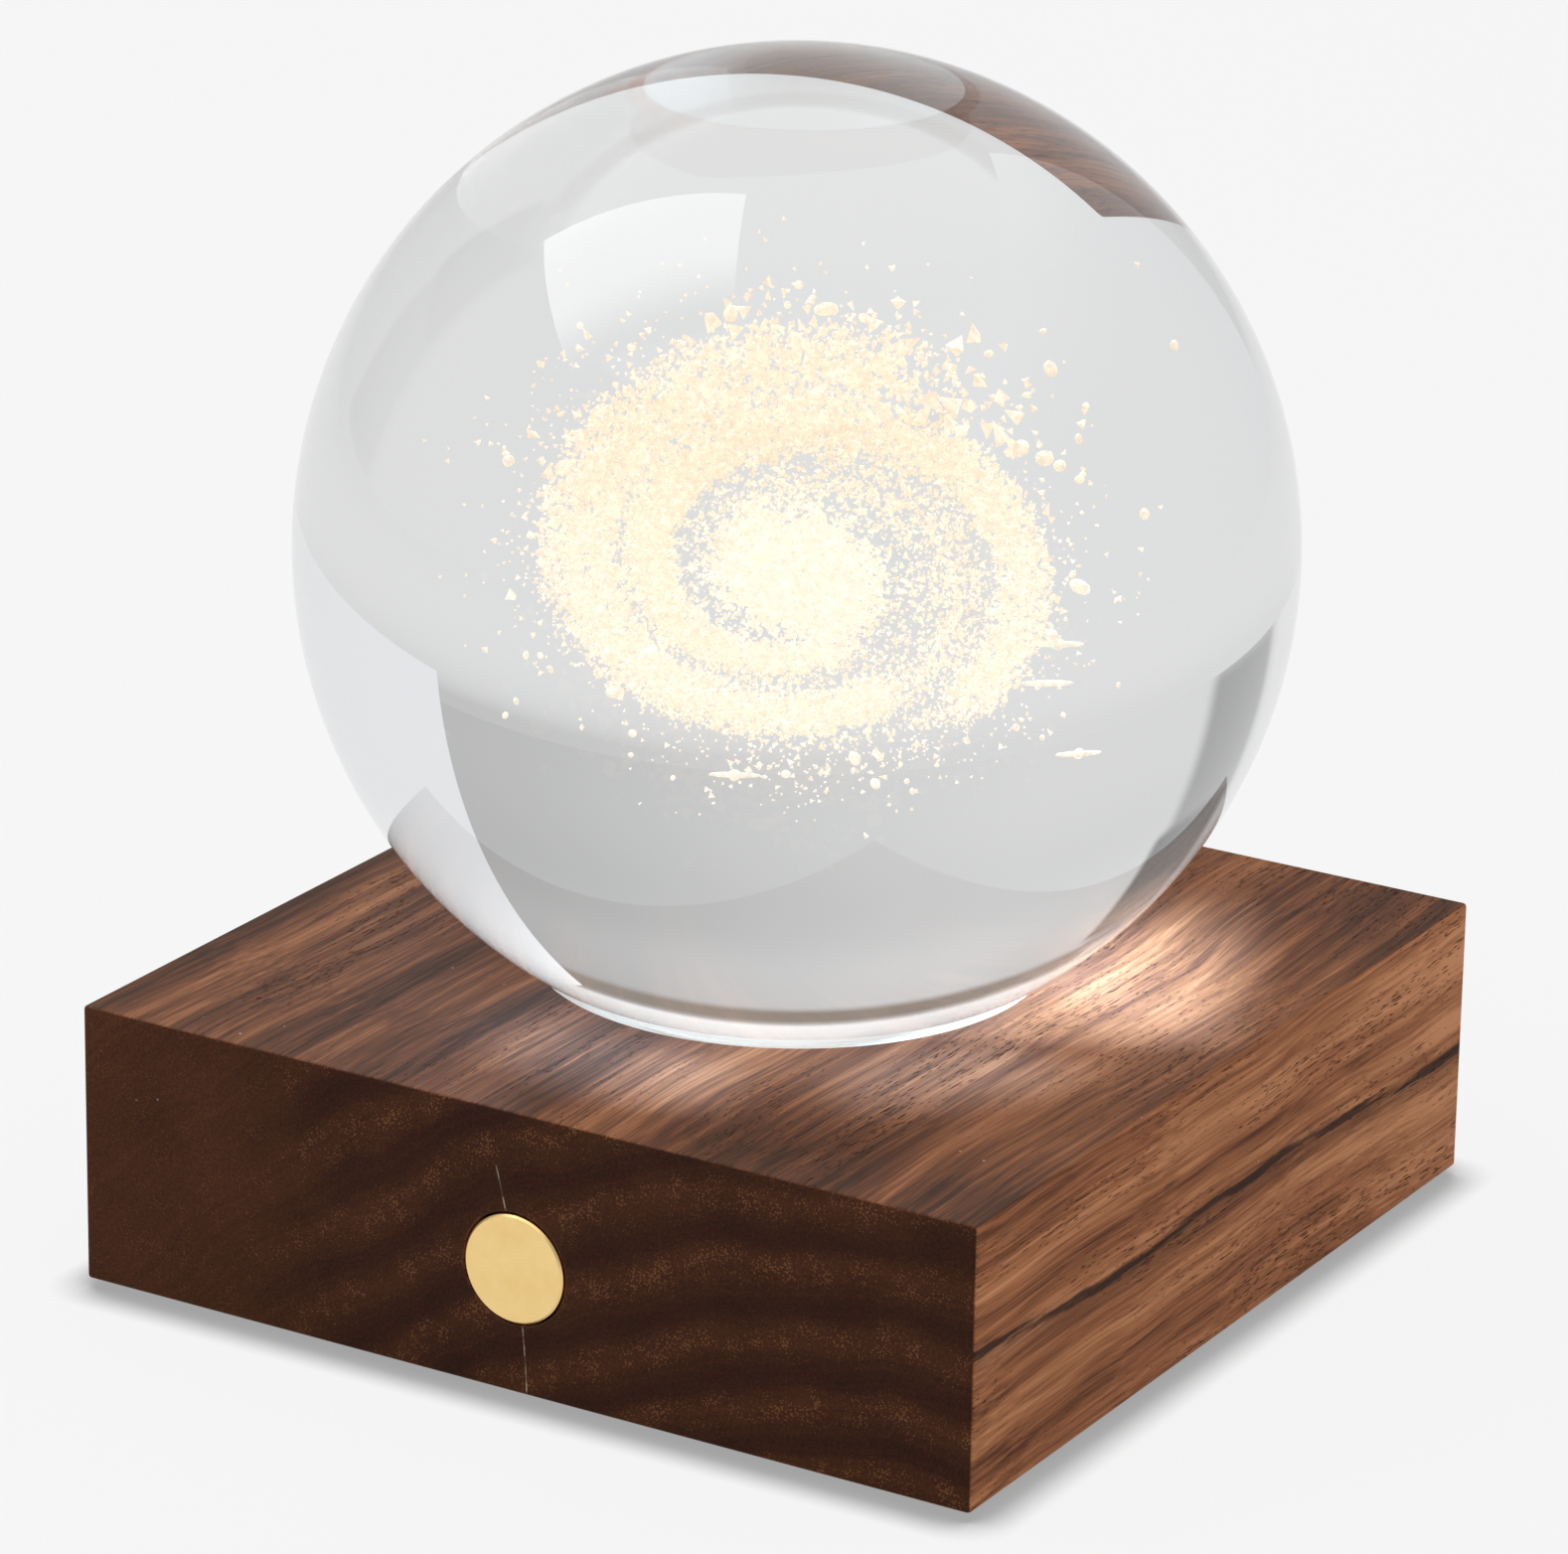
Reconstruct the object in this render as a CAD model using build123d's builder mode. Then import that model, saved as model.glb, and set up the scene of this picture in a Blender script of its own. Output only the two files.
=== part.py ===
from build123d import *
import math
import os

# A crystal ball night light. A solid glass ball, with a galaxy engraved inside it, rests in a
# ring seat in the top of a walnut block. A lamp under the ball lights the engraving, a brass
# push button in the front switches it, and a battery in the block is charged at the back.
# Sizes are in millimetres. +Z is up and the button faces -Y. The origin is the middle of the
# footprint, on the table.

# Walnut block
base_width = 81.6
base_height = 23.4
foot_proud = 0.8
base_bottom = foot_proud
base_top = base_bottom + base_height
half_base = base_width / 2
upright_edge_round = 0.4
top_edge_round = 0.3
bottom_edge_round = 0.3
wall = 8.0
cavity_width = base_width - 2 * wall
half_cavity = cavity_width / 2
cavity_top = 14.6
corner_post = 9.0
cutter_radius = 2.5

# Crystal ball
ball_radius = 40.0
ball_sink = 5.4
ball_centre_z = base_top - ball_sink + ball_radius

# Seat under the ball
seat_radius = 20.5
seat_depth = 3.4
seat_floor = base_top - seat_depth
seat_rim_chamfer = 0.3
ring_inner_radius = 15.8
ring_outer_radius = seat_radius - 0.2
ring_top = base_top - 0.5
lamp_hole_fit = 0.2
ball_gap = 0.2
lamp_hole_radius = 15.6

# Galaxy engraved in the ball
galaxy_radius = 16.5
galaxy_offset = (0.9, -1.4, -1.1)
galaxy_bulge = (4.2, 2.4)
bulge_shoulder = (3.0, 1.6)
galaxy_lean = 32.0
galaxy_bearing = 31.0
arm_count = 2
marks_per_arm = 150
arm_start_radius = 4.8
arm_start_bearing = 0.17
arm_turns = 1.0
arm_spread = (1.2, 2.4)
arm_flatness = 0.3
mark_size = 0.55
golden_angle = math.pi * (3 - math.sqrt(5))
golden_share = (math.sqrt(5) - 1) / 2

# Lamp under the ball
window_radius = 14.4
window_thickness = 1.4
window_bottom = 16.8
window_top = window_bottom + window_thickness
window_fit = 0.1
window_edge = 0.2
cup_tube_radius = lamp_hole_radius - lamp_hole_fit
cup_flange_radius = 20.3
cup_flange_thickness = 1.6
cup_flange_bottom = cavity_top - cup_flange_thickness
cup_skirt_radius = 14.6
cup_skirt_bottom = 10.2
reflector_mouth = 13.4
reflector_throat = 8.4
reflector_throat_height = 1.0
led_board_fit = 0.2
led_board_radius = 12.6
led_board_thickness = 1.2
led_board_top = 11.6
led_board_bottom = led_board_top - led_board_thickness
chip_size = (2.8, 3.5, 0.7)
chip_circle = 5.0
chip_count = 4
cup_screw_count = 3
cup_screw_circle = 18.0
cup_screw_angle = 30.0
led_screw_count = 2
led_screw_circle = 10.6
led_screw_angle = 45.0
led_screw_grip = 2.0

# Push button in the front
button_z = base_bottom + 10.4
button_radius = 4.5
button_bore_radius = 4.72
button_proud = 0.15
button_thickness = 2.4
button_edge = 0.15
button_travel = 1.0
spigot_radius = 2.0
spigot_length = 1.3
spigot_fit = 0.02
spigot_end_gap = 0.1
carrier_radius = 4.62
carrier_flange_radius = 6.0
carrier_flange_thickness = 1.2
carrier_gap = 0.1
carrier_nose_radius = 1.6
carrier_nose_length = 0.9
button_face_y = -half_base - button_proud
button_back_y = button_face_y + button_thickness
carrier_flange_y = -half_cavity + carrier_gap
carrier_nose_y = carrier_flange_y + carrier_flange_thickness
plunger_front_y = carrier_nose_y + carrier_nose_length
plunger_radius = 1.75
plunger_length = 2.4
plunger_clearance = 0.1
plunger_edge = 0.2
overtravel = 0.1
switch_size = 6.0
switch_corner = 0.4
switch_front_y = plunger_front_y + button_travel + overtravel
switch_depth = 3.4
switch_well = 2.9
switch_board_front_y = switch_front_y + switch_depth
switch_board_size = (16.4, 10.0)
switch_board_thickness = 1.2
switch_pocket = (28.0, 9.8)
switch_pocket_top = 18.4
bracket_arm_inner = 7.6
bracket_arm_outer = 9.6
bracket_back_lip = 1.0
bracket_groove_fit = 0.1
bracket_ear_reach = 13.6
bracket_ear_thickness = 1.2
bracket_ear_height = 6.0
bracket_screw_x = 11.6
bracket_bottom = 5.0
bracket_top = 16.4
bracket_sill = (3.4, 1.0)

# Main board and charging socket at the back
main_board_size = (40.0, 18.6)
main_board_front_y = 14.0
main_board_corner = 1.0
board_thickness = 1.2
board_bottom = 7.0
board_top = board_bottom + board_thickness
spacer_radius = 2.4
spacer_x = 16.5
spacer_y = (17.2, 29.4)
socket_width = 8.94
socket_height = 3.26
socket_wall = 0.3
socket_length = 10.6
socket_mouth_y = 39.2
socket_z = board_top + socket_height / 2
contact_tongue = (6.2, 0.7)
contact_tongue_recess = 0.8
tongue_block_depth = 4.4
tongue_fit = 0.02
bezel_face = (17.0, 10.4)
bezel_body = (14.6, 8.2)
bezel_proud = button_proud
bezel_face_y = half_base + bezel_proud
bezel_face_thickness = 1.0
bezel_slot = (9.3, 3.7)
bezel_plug_pocket = (12.8, 7.0)
bezel_pocket_depth = 1.4
bezel_fit = 0.1
bezel_corner = 1.6
bezel_edge = 0.15

# Battery
battery_size = (46.0, 30.0, 5.2)
battery_centre = (-1.0, -7.0)
pad_thickness = 0.8
pad_size = (38.0, 22.0)
guard_board_size = (2.0, 24.0, 4.0)
battery_edge_round = 1.6
pad_corner = 1.5

# Bottom plate and feet
plate_thickness = 2.0
plate_size = 70.8
plate_corner = 2.8
plate_fit = 0.1
plate_bottom = base_bottom
plate_top = plate_bottom + plate_thickness
plate_screw_spread = 59.0
battery_bottom = plate_top + pad_thickness
rib_height = 1.2
rib_thickness = 1.2
rib_inside = (51.0, 30.6)
rib_inside_corner = 1.0
foot_radius = 4.0
foot_recess = 0.4
foot_fit = 0.1
foot_spread = 46.0
foot_round = 0.35

# Screws: head radius, head height, shank radius and length under the head
pilot_clearance = 0.05
screw_clearance = 0.15
plate_screw_size = (2.4, 1.3, 1.2, 9.5)
cup_screw_size = (1.9, 1.2, 1.0, 5.4)
led_screw_size = (1.4, 0.9, 0.75, 2.9)
bracket_screw_size = (1.7, 1.1, 0.95, 5.0)
board_screw_size = (1.9, 1.2, 0.95, 12.0)
countersink_angle = 90
recess_width = 0.5
recess_share = 0.55

# Leads
lead_diameter = 1.1
lead_pitch = 1.6
connector_size = (5.0, 4.4, 3.4)
led_connector_x = -8.0
side_connector_y = 22.5
switch_plug_size = (4.4, 2.4, 3.6)
switch_lead_level = 10.4
switch_lead_offset = 1.7
lamp_plug_size = (4.4, 4.0, 1.4)
lamp_plug_centre = (-3.6, 3.0)
lead_level = board_top + connector_size[2] / 2
lead_side_x = 28.6


def screw(size, countersunk=False):
    """A cross-recessed screw with the top of its head at the origin and its shank along -Z."""
    head_radius, head_height, shank_radius, length = size
    tip = -head_height - length
    head_side = [] if countersunk else [(head_radius, -head_height)]
    with BuildPart() as made:
        with BuildSketch(Plane.XZ):
            with BuildLine():
                Polyline(
                    (0, 0),
                    (head_radius, 0),
                    *head_side,
                    (shank_radius, -head_height),
                    (shank_radius, tip + shank_radius),
                    (0, tip),
                    close=True,
                )
            make_face()
        revolve(axis=Axis.Z)
        bar = 2 * head_radius * recess_share
        for long_side in ((bar, recess_width), (recess_width, bar)):
            Box(*long_side, head_height, mode=Mode.SUBTRACT)
    return made.part


def lead_pair(route, bends, offset):
    """Two leads side by side, each a round tube along straight runs joined by tangent arcs."""
    tubes = []
    for side in (-0.5, 0.5):
        shift = Vector(*offset) * side
        points = [Vector(*point) + shift for point in route]
        with BuildPart() as tube:
            with BuildLine() as path:
                FilletPolyline(*points, radius=bends)
            run = path.wires()[0]
            with BuildSketch(Plane(origin=run @ 0, z_dir=run % 0)):
                Circle(lead_diameter / 2)
            sweep()
        expected = math.pi * lead_diameter**2 / 4 * run.length
        print(f"lead of {run.length:.1f} mm, volume {tube.part.volume / expected:.4f} of its due")
        tubes.append(tube.part)
    return tubes


def upright(y):
    """The plane that faces +Y at y, with its own x along -X, so that its own y stays up."""
    return Plane(origin=(0, y, 0), x_dir=(-1, 0, 0), z_dir=(0, 1, 0))


def button_plane(y):
    """The plane across the button's axis at y, facing into the block."""
    return Plane(origin=(0, y, button_z), x_dir=(-1, 0, 0), z_dir=(0, 1, 0))


# Solid glass ball
with BuildPart() as crystal_ball:
    with Locations((0, 0, ball_centre_z)):
        Sphere(ball_radius)
crystal_ball.part.label = "crystal_ball"

# Galaxy engraving: a bulge, and marks that scatter about two arms of a spiral that leans
# towards the front right corner
lean = math.radians(galaxy_lean)
bearing = math.radians(galaxy_bearing)
galaxy_plane = Plane(
    origin=(galaxy_offset[0], galaxy_offset[1], ball_centre_z + galaxy_offset[2]),
    x_dir=(math.cos(bearing), math.sin(bearing), 0),
    z_dir=(math.sin(lean) * math.sin(bearing), -math.sin(lean) * math.cos(bearing), math.cos(lean)),
)
arm_growth = math.log(galaxy_radius / arm_start_radius)
mark_places = [(0, 0, 0)]
mark_spacing = [galaxy_bulge[0] + mark_size]
for arm in range(arm_count):
    for mark in range(marks_per_arm):
        along = (mark + 0.5) / marks_per_arm
        spread = arm_spread[0] + (arm_spread[1] - arm_spread[0]) * along
        scatter = spread * math.sqrt((mark * golden_share) % 1)
        turn = golden_angle * mark
        reach = arm_start_radius * math.exp(arm_growth * along)
        heading = 2 * math.pi * (arm_start_bearing + arm / arm_count - arm_turns * along)
        place = (
            reach * math.cos(heading) + scatter * math.cos(turn),
            reach * math.sin(heading) + scatter * math.sin(turn),
            arm_flatness * scatter * math.sin(3 * turn),
        )
        if all(math.dist(place, other) > gap for other, gap in zip(mark_places, mark_spacing)):
            mark_places.append(place)
            mark_spacing.append(2 * mark_size)
with BuildPart() as galaxy_engraving:
    with BuildSketch(Plane.XZ):
        with BuildLine():
            Polyline(
                (0, -galaxy_bulge[1]),
                (bulge_shoulder[0], -bulge_shoulder[1]),
                (galaxy_bulge[0], 0),
                bulge_shoulder,
                (0, galaxy_bulge[1]),
                close=True,
            )
        make_face()
    revolve(axis=Axis.Z)
    with Locations(*mark_places[1:]):
        Box(mark_size, mark_size, mark_size)
galaxy_engraving.part = galaxy_engraving.part.moved(galaxy_plane.location)
galaxy_engraving.part.label = "galaxy_engraving"

# Walnut block, hollowed from below and bored for the ball, lamp, button and port
with BuildPart() as wooden_base:
    with BuildSketch(Plane.XY.offset(base_bottom)):
        Rectangle(base_width, base_width)
    extrude(amount=base_height)
    fillet(wooden_base.edges().filter_by(Axis.Z), upright_edge_round)
    fillet(wooden_base.faces().sort_by(Axis.Z)[-1].edges(), top_edge_round)
    fillet(wooden_base.faces().sort_by(Axis.Z)[0].edges(), bottom_edge_round)
    with BuildSketch(Plane.XY.offset(base_bottom)) as cavity:
        Rectangle(cavity_width, cavity_width)
        with GridLocations(cavity_width - corner_post, cavity_width - corner_post, 2, 2):
            Rectangle(corner_post, corner_post, mode=Mode.SUBTRACT)
        fillet(cavity.vertices(), cutter_radius / 2)
    extrude(amount=cavity_top - base_bottom, mode=Mode.SUBTRACT)
    with BuildSketch(Plane.XY.offset(base_bottom)):
        RectangleRounded(
            plate_size + 2 * plate_fit, plate_size + 2 * plate_fit, plate_corner + plate_fit
        )
    extrude(amount=plate_thickness, mode=Mode.SUBTRACT)
    with BuildSketch(Plane.XY.offset(cavity_top)):
        with Locations((0, -half_cavity + switch_pocket[1] / 2)):
            RectangleRounded(*switch_pocket, cutter_radius)
    extrude(amount=switch_pocket_top - cavity_top, mode=Mode.SUBTRACT)
    with Locations((0, 0, base_top)):
        CounterBoreHole(lamp_hole_radius, seat_radius, seat_depth, depth=base_height)
    seat_rim = (
        wooden_base.edges()
        .filter_by(GeomType.CIRCLE)
        .filter_by(lambda edge: abs(edge.radius - seat_radius) < 0.01)
        .sort_by(Axis.Z)[-1]
    )
    chamfer(seat_rim, seat_rim_chamfer)
    with BuildSketch(button_plane(-half_base)):
        Circle(button_bore_radius)
    extrude(amount=wall, mode=Mode.SUBTRACT)
    with BuildSketch(upright(half_cavity)):
        with Locations((0, socket_z)):
            RectangleRounded(
                bezel_body[0] + 2 * bezel_fit, bezel_body[1] + 2 * bezel_fit, bezel_corner
            )
    extrude(amount=wall, mode=Mode.SUBTRACT)
    with BuildSketch(upright(bezel_face_y - bezel_face_thickness)):
        with Locations((0, socket_z)):
            RectangleRounded(
                bezel_face[0] + 2 * bezel_fit, bezel_face[1] + 2 * bezel_fit, bezel_corner
            )
    extrude(amount=bezel_face_thickness, mode=Mode.SUBTRACT)
    with Locations(Plane(origin=(0, 0, plate_top), z_dir=(0, 0, -1))):
        with GridLocations(plate_screw_spread, plate_screw_spread, 2, 2):
            Hole(plate_screw_size[2] + pilot_clearance, depth=plate_screw_size[3])
    with Locations(Plane(origin=(0, 0, cavity_top), x_dir=(1, 0, 0), z_dir=(0, 0, -1))):
        with PolarLocations(cup_screw_circle, cup_screw_count, -cup_screw_angle):
            Hole(cup_screw_size[2] + pilot_clearance, depth=cup_screw_size[3])
        for x in (-spacer_x, spacer_x):
            for y in spacer_y:
                with Locations((x, -y)):
                    Hole(board_screw_size[2] + pilot_clearance, depth=board_screw_size[3] / 2)
    with BuildSketch(button_plane(-half_cavity)):
        with Locations((-bracket_screw_x, 0), (bracket_screw_x, 0)):
            Circle(bracket_screw_size[2] + pilot_clearance)
    extrude(amount=-bracket_screw_size[3], mode=Mode.SUBTRACT)
wooden_base.part.label = "wooden_base"

# Clear silicone ring that the ball rests in
with BuildPart() as seat_ring:
    with BuildSketch(Plane.XZ):
        with Locations(((ring_inner_radius + ring_outer_radius) / 2, seat_floor)):
            Rectangle(
                ring_outer_radius - ring_inner_radius,
                ring_top - seat_floor,
                align=(Align.CENTER, Align.MIN),
            )
        with Locations((0, ball_centre_z)):
            Circle(ball_radius + ball_gap, mode=Mode.SUBTRACT)
    revolve(axis=Axis.Z)
seat_ring.part.label = "seat_ring"

# Frosted window over the lamp
with BuildPart() as light_window:
    with BuildSketch(Plane.XY.offset(window_bottom)):
        Circle(window_radius)
    extrude(amount=window_thickness)
    chamfer(light_window.edges().group_by(Axis.Z)[-1], window_edge)
light_window.part.label = "light_window"

# White cup with the reflector, screwed up under the deck
with BuildPart() as lamp_cup:
    with BuildSketch(Plane.XZ):
        with BuildLine():
            Polyline(
                (window_radius + window_fit, window_top),
                (cup_tube_radius, window_top),
                (cup_tube_radius, cavity_top),
                (cup_flange_radius, cavity_top),
                (cup_flange_radius, cup_flange_bottom),
                (cup_skirt_radius, cup_flange_bottom),
                (cup_skirt_radius, cup_skirt_bottom),
                (led_board_radius + led_board_fit, cup_skirt_bottom),
                (led_board_radius + led_board_fit, led_board_top),
                (reflector_throat, led_board_top),
                (reflector_throat, led_board_top + reflector_throat_height),
                (reflector_mouth, window_bottom),
                (window_radius + window_fit, window_bottom),
                close=True,
            )
        make_face()
    revolve(axis=Axis.Z)
    with Locations((0, 0, cavity_top)):
        with PolarLocations(cup_screw_circle, cup_screw_count, cup_screw_angle):
            Hole(cup_screw_size[2] + screw_clearance, depth=cup_flange_thickness)
    with Locations(Plane(origin=(0, 0, led_board_top), x_dir=(1, 0, 0), z_dir=(0, 0, -1))):
        with PolarLocations(led_screw_circle, led_screw_count, -led_screw_angle):
            Hole(led_screw_size[2] + pilot_clearance, depth=led_screw_grip)
lamp_cup.part.label = "lamp_cup"

# Screws of the lamp cup
cup_screw = screw(cup_screw_size)
with BuildPart() as lamp_cup_screws:
    with Locations(
        Plane(
            origin=(0, 0, cup_flange_bottom - cup_screw_size[1]), x_dir=(1, 0, 0), z_dir=(0, 0, -1)
        )
    ):
        with PolarLocations(cup_screw_circle, cup_screw_count, -cup_screw_angle):
            add(cup_screw)
lamp_cup_screws.part.label = "lamp_cup_screws"

# Round lamp board
with BuildPart() as led_board:
    with BuildSketch(Plane.XY.offset(led_board_bottom)):
        Circle(led_board_radius)
        with PolarLocations(led_screw_circle, led_screw_count, led_screw_angle):
            Circle(led_screw_size[2] + screw_clearance, mode=Mode.SUBTRACT)
    extrude(amount=led_board_thickness)
led_board.part.label = "led_board"

# Light emitting chips, one in the middle and four around it
with BuildPart() as led_chips:
    with Locations((0, 0, led_board_top)):
        Box(*chip_size, align=(Align.CENTER, Align.CENTER, Align.MIN))
        with PolarLocations(chip_circle, chip_count):
            Box(*chip_size, align=(Align.CENTER, Align.CENTER, Align.MIN))
led_chips.part.label = "led_chips"

# Screws of the lamp board
led_screw = screw(led_screw_size)
with BuildPart() as led_board_screws:
    with Locations(
        Plane(
            origin=(0, 0, led_board_bottom - led_screw_size[1]), x_dir=(1, 0, 0), z_dir=(0, 0, -1)
        )
    ):
        with PolarLocations(led_screw_circle, led_screw_count, -led_screw_angle):
            add(led_screw)
led_board_screws.part.label = "led_board_screws"

# Brass button
with BuildPart() as brass_button:
    with BuildSketch(button_plane(button_face_y)):
        Circle(button_radius)
    extrude(amount=button_thickness)
    chamfer(brass_button.edges().group_by(Axis.Y)[0], button_edge)
    with BuildSketch(button_plane(button_back_y)):
        Circle(spigot_radius)
    extrude(amount=-spigot_length, mode=Mode.SUBTRACT)
brass_button.part.label = "brass_button"

# Plastic carrier: a spigot in the brass, a stem in the bore and a flange behind the wall
with BuildPart() as button_carrier:
    with BuildSketch(button_plane(button_back_y - spigot_length + spigot_end_gap)):
        Circle(spigot_radius - spigot_fit)
    extrude(amount=spigot_length - spigot_end_gap)
    with BuildSketch(button_plane(button_back_y)):
        Circle(carrier_radius)
    extrude(amount=carrier_flange_y - button_back_y)
    with BuildSketch(button_plane(carrier_flange_y)):
        Circle(carrier_flange_radius)
    extrude(amount=carrier_flange_thickness)
    with BuildSketch(button_plane(carrier_nose_y)):
        Circle(carrier_nose_radius)
    extrude(amount=carrier_nose_length)
button_carrier.part.label = "button_carrier"

# Plunger of the switch
with BuildPart() as switch_plunger:
    with BuildSketch(button_plane(plunger_front_y)):
        Circle(plunger_radius)
    extrude(amount=plunger_length)
    chamfer(switch_plunger.edges().group_by(Axis.Y)[0], plunger_edge)
switch_plunger.part.label = "switch_plunger"

# Body of the switch, with the well that the plunger sinks into
with BuildPart() as tact_switch:
    with BuildSketch(button_plane(switch_front_y)):
        RectangleRounded(switch_size, switch_size, switch_corner)
    extrude(amount=switch_depth)
    with BuildSketch(button_plane(switch_front_y)):
        Circle(plunger_radius + plunger_clearance)
    extrude(amount=switch_well, mode=Mode.SUBTRACT)
tact_switch.part.label = "tact_switch"

# Upright board that carries the switch
with BuildPart() as switch_board:
    with BuildSketch(button_plane(switch_board_front_y)):
        Rectangle(*switch_board_size)
    extrude(amount=switch_board_thickness)
switch_board.part.label = "switch_board"

# Bracket with two grooved arms, a sill below the board and two ears on the front wall
arm_width = bracket_arm_outer - bracket_arm_inner
arm_middle_x = (bracket_arm_inner + bracket_arm_outer) / 2
arm_back_y = switch_board_front_y + switch_board_thickness + bracket_back_lip
arm_height = bracket_top - bracket_bottom
groove_depth = switch_board_size[0] / 2 + bracket_groove_fit - bracket_arm_inner
groove_width = switch_board_thickness + bracket_groove_fit
groove_y = switch_board_front_y + switch_board_thickness / 2
with BuildPart() as switch_bracket:
    for side in (-1, 1):
        with BuildSketch(Plane.XY.offset(bracket_bottom)):
            with Locations((side * arm_middle_x, arm_back_y)):
                Rectangle(arm_width, arm_back_y + half_cavity, align=(Align.CENTER, Align.MAX))
        extrude(amount=arm_height)
        with BuildSketch(Plane.XY.offset(bracket_bottom + bracket_sill[1])):
            with Locations((side * bracket_arm_inner, groove_y)):
                Rectangle(2 * groove_depth, groove_width)
        extrude(amount=arm_height, mode=Mode.SUBTRACT)
        with BuildSketch(Plane.XY.offset(button_z - bracket_ear_height / 2)):
            with Locations((side * (bracket_arm_outer + bracket_ear_reach) / 2, -half_cavity)):
                Rectangle(
                    bracket_ear_reach - bracket_arm_outer,
                    bracket_ear_thickness,
                    align=(Align.CENTER, Align.MIN),
                )
        extrude(amount=bracket_ear_height)
    with BuildSketch(Plane.XY.offset(bracket_bottom)):
        with Locations((0, arm_back_y)):
            Rectangle(2 * bracket_arm_outer, bracket_sill[0], align=(Align.CENTER, Align.MAX))
    extrude(amount=bracket_sill[1])
    with BuildSketch(button_plane(-half_cavity)):
        with Locations((-bracket_screw_x, 0), (bracket_screw_x, 0)):
            Circle(bracket_screw_size[2] + screw_clearance)
    extrude(amount=bracket_ear_thickness, mode=Mode.SUBTRACT)
switch_bracket.part.label = "switch_bracket"

# Screws of the switch bracket
bracket_screw = screw(bracket_screw_size)
bracket_screw_y = -half_cavity + bracket_ear_thickness + bracket_screw_size[1]
with BuildPart() as bracket_screws:
    with Locations(button_plane(bracket_screw_y)):
        with Locations((-bracket_screw_x, 0), (bracket_screw_x, 0)):
            add(bracket_screw)
bracket_screws.part.label = "bracket_screws"

# Main board
board_middle_y = main_board_front_y + main_board_size[1] / 2
with BuildPart() as main_board:
    with BuildSketch(Plane.XY.offset(board_bottom)):
        with Locations((0, board_middle_y)):
            RectangleRounded(*main_board_size, main_board_corner)
        for x in (-spacer_x, spacer_x):
            for y in spacer_y:
                with Locations((x, y)):
                    Circle(board_screw_size[2] + screw_clearance, mode=Mode.SUBTRACT)
    extrude(amount=board_thickness)
main_board.part.label = "main_board"

# Spacers that hang the main board under the deck
with BuildPart() as board_spacers:
    with BuildSketch(Plane.XY.offset(board_top)):
        for x in (-spacer_x, spacer_x):
            for y in spacer_y:
                with Locations((x, y)):
                    Circle(spacer_radius)
                    Circle(board_screw_size[2] + screw_clearance, mode=Mode.SUBTRACT)
    extrude(amount=cavity_top - board_top)
board_spacers.part.label = "board_spacers"

# Screws of the main board
board_screw = screw(board_screw_size)
with BuildPart() as main_board_screws:
    for x in (-spacer_x, spacer_x):
        for y in spacer_y:
            with Locations(
                Plane(origin=(x, y, board_bottom - board_screw_size[1]), z_dir=(0, 0, -1))
            ):
                add(board_screw)
main_board_screws.part.label = "main_board_screws"

# Parts soldered to the main board: centre, then size
board_part_list = (
    ((-6.5, 26.0), (5.0, 4.0, 1.6)),
    ((7.0, 25.0), (5.2, 5.2, 2.4)),
    ((1.2, 19.0), (3.0, 1.7, 1.1)),
    ((6.0, 17.5), (3.2, 1.6, 1.2)),
    ((-0.5, 23.5), (2.0, 1.25, 0.8)),
    ((-0.5, 27.0), (2.0, 1.25, 0.8)),
    ((11.5, 19.0), (2.0, 1.25, 0.8)),
    ((-11.0, 29.5), (1.6, 0.8, 0.6)),
)
with BuildPart() as board_parts:
    for centre, size in board_part_list:
        with Locations((*centre, board_top)):
            Box(*size, align=(Align.CENTER, Align.CENTER, Align.MIN))
board_parts.part.label = "board_parts"

# Steel shell of the charging socket
with BuildPart() as charge_socket:
    with BuildSketch(upright(socket_mouth_y - socket_length)):
        with Locations((0, socket_z)):
            SlotOverall(socket_width, socket_height)
    extrude(amount=socket_length)
    with BuildSketch(upright(socket_mouth_y)):
        with Locations((0, socket_z)):
            SlotOverall(socket_width - 2 * socket_wall, socket_height - 2 * socket_wall)
    extrude(amount=-(socket_length - socket_wall), mode=Mode.SUBTRACT)
charge_socket.part.label = "charge_socket"

# Contact tongue on its plastic back block, inside the shell
tongue_back_y = socket_mouth_y - socket_length + socket_wall
shell_inset = 2 * (socket_wall + tongue_fit)
with BuildPart() as socket_tongue:
    with BuildSketch(upright(tongue_back_y)):
        with Locations((0, socket_z)):
            SlotOverall(socket_width - shell_inset, socket_height - shell_inset)
    extrude(amount=tongue_block_depth)
    with BuildSketch(upright(tongue_back_y)):
        with Locations((0, socket_z)):
            Rectangle(*contact_tongue)
    extrude(amount=socket_length - socket_wall - contact_tongue_recess)
socket_tongue.part.label = "socket_tongue"

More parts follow.
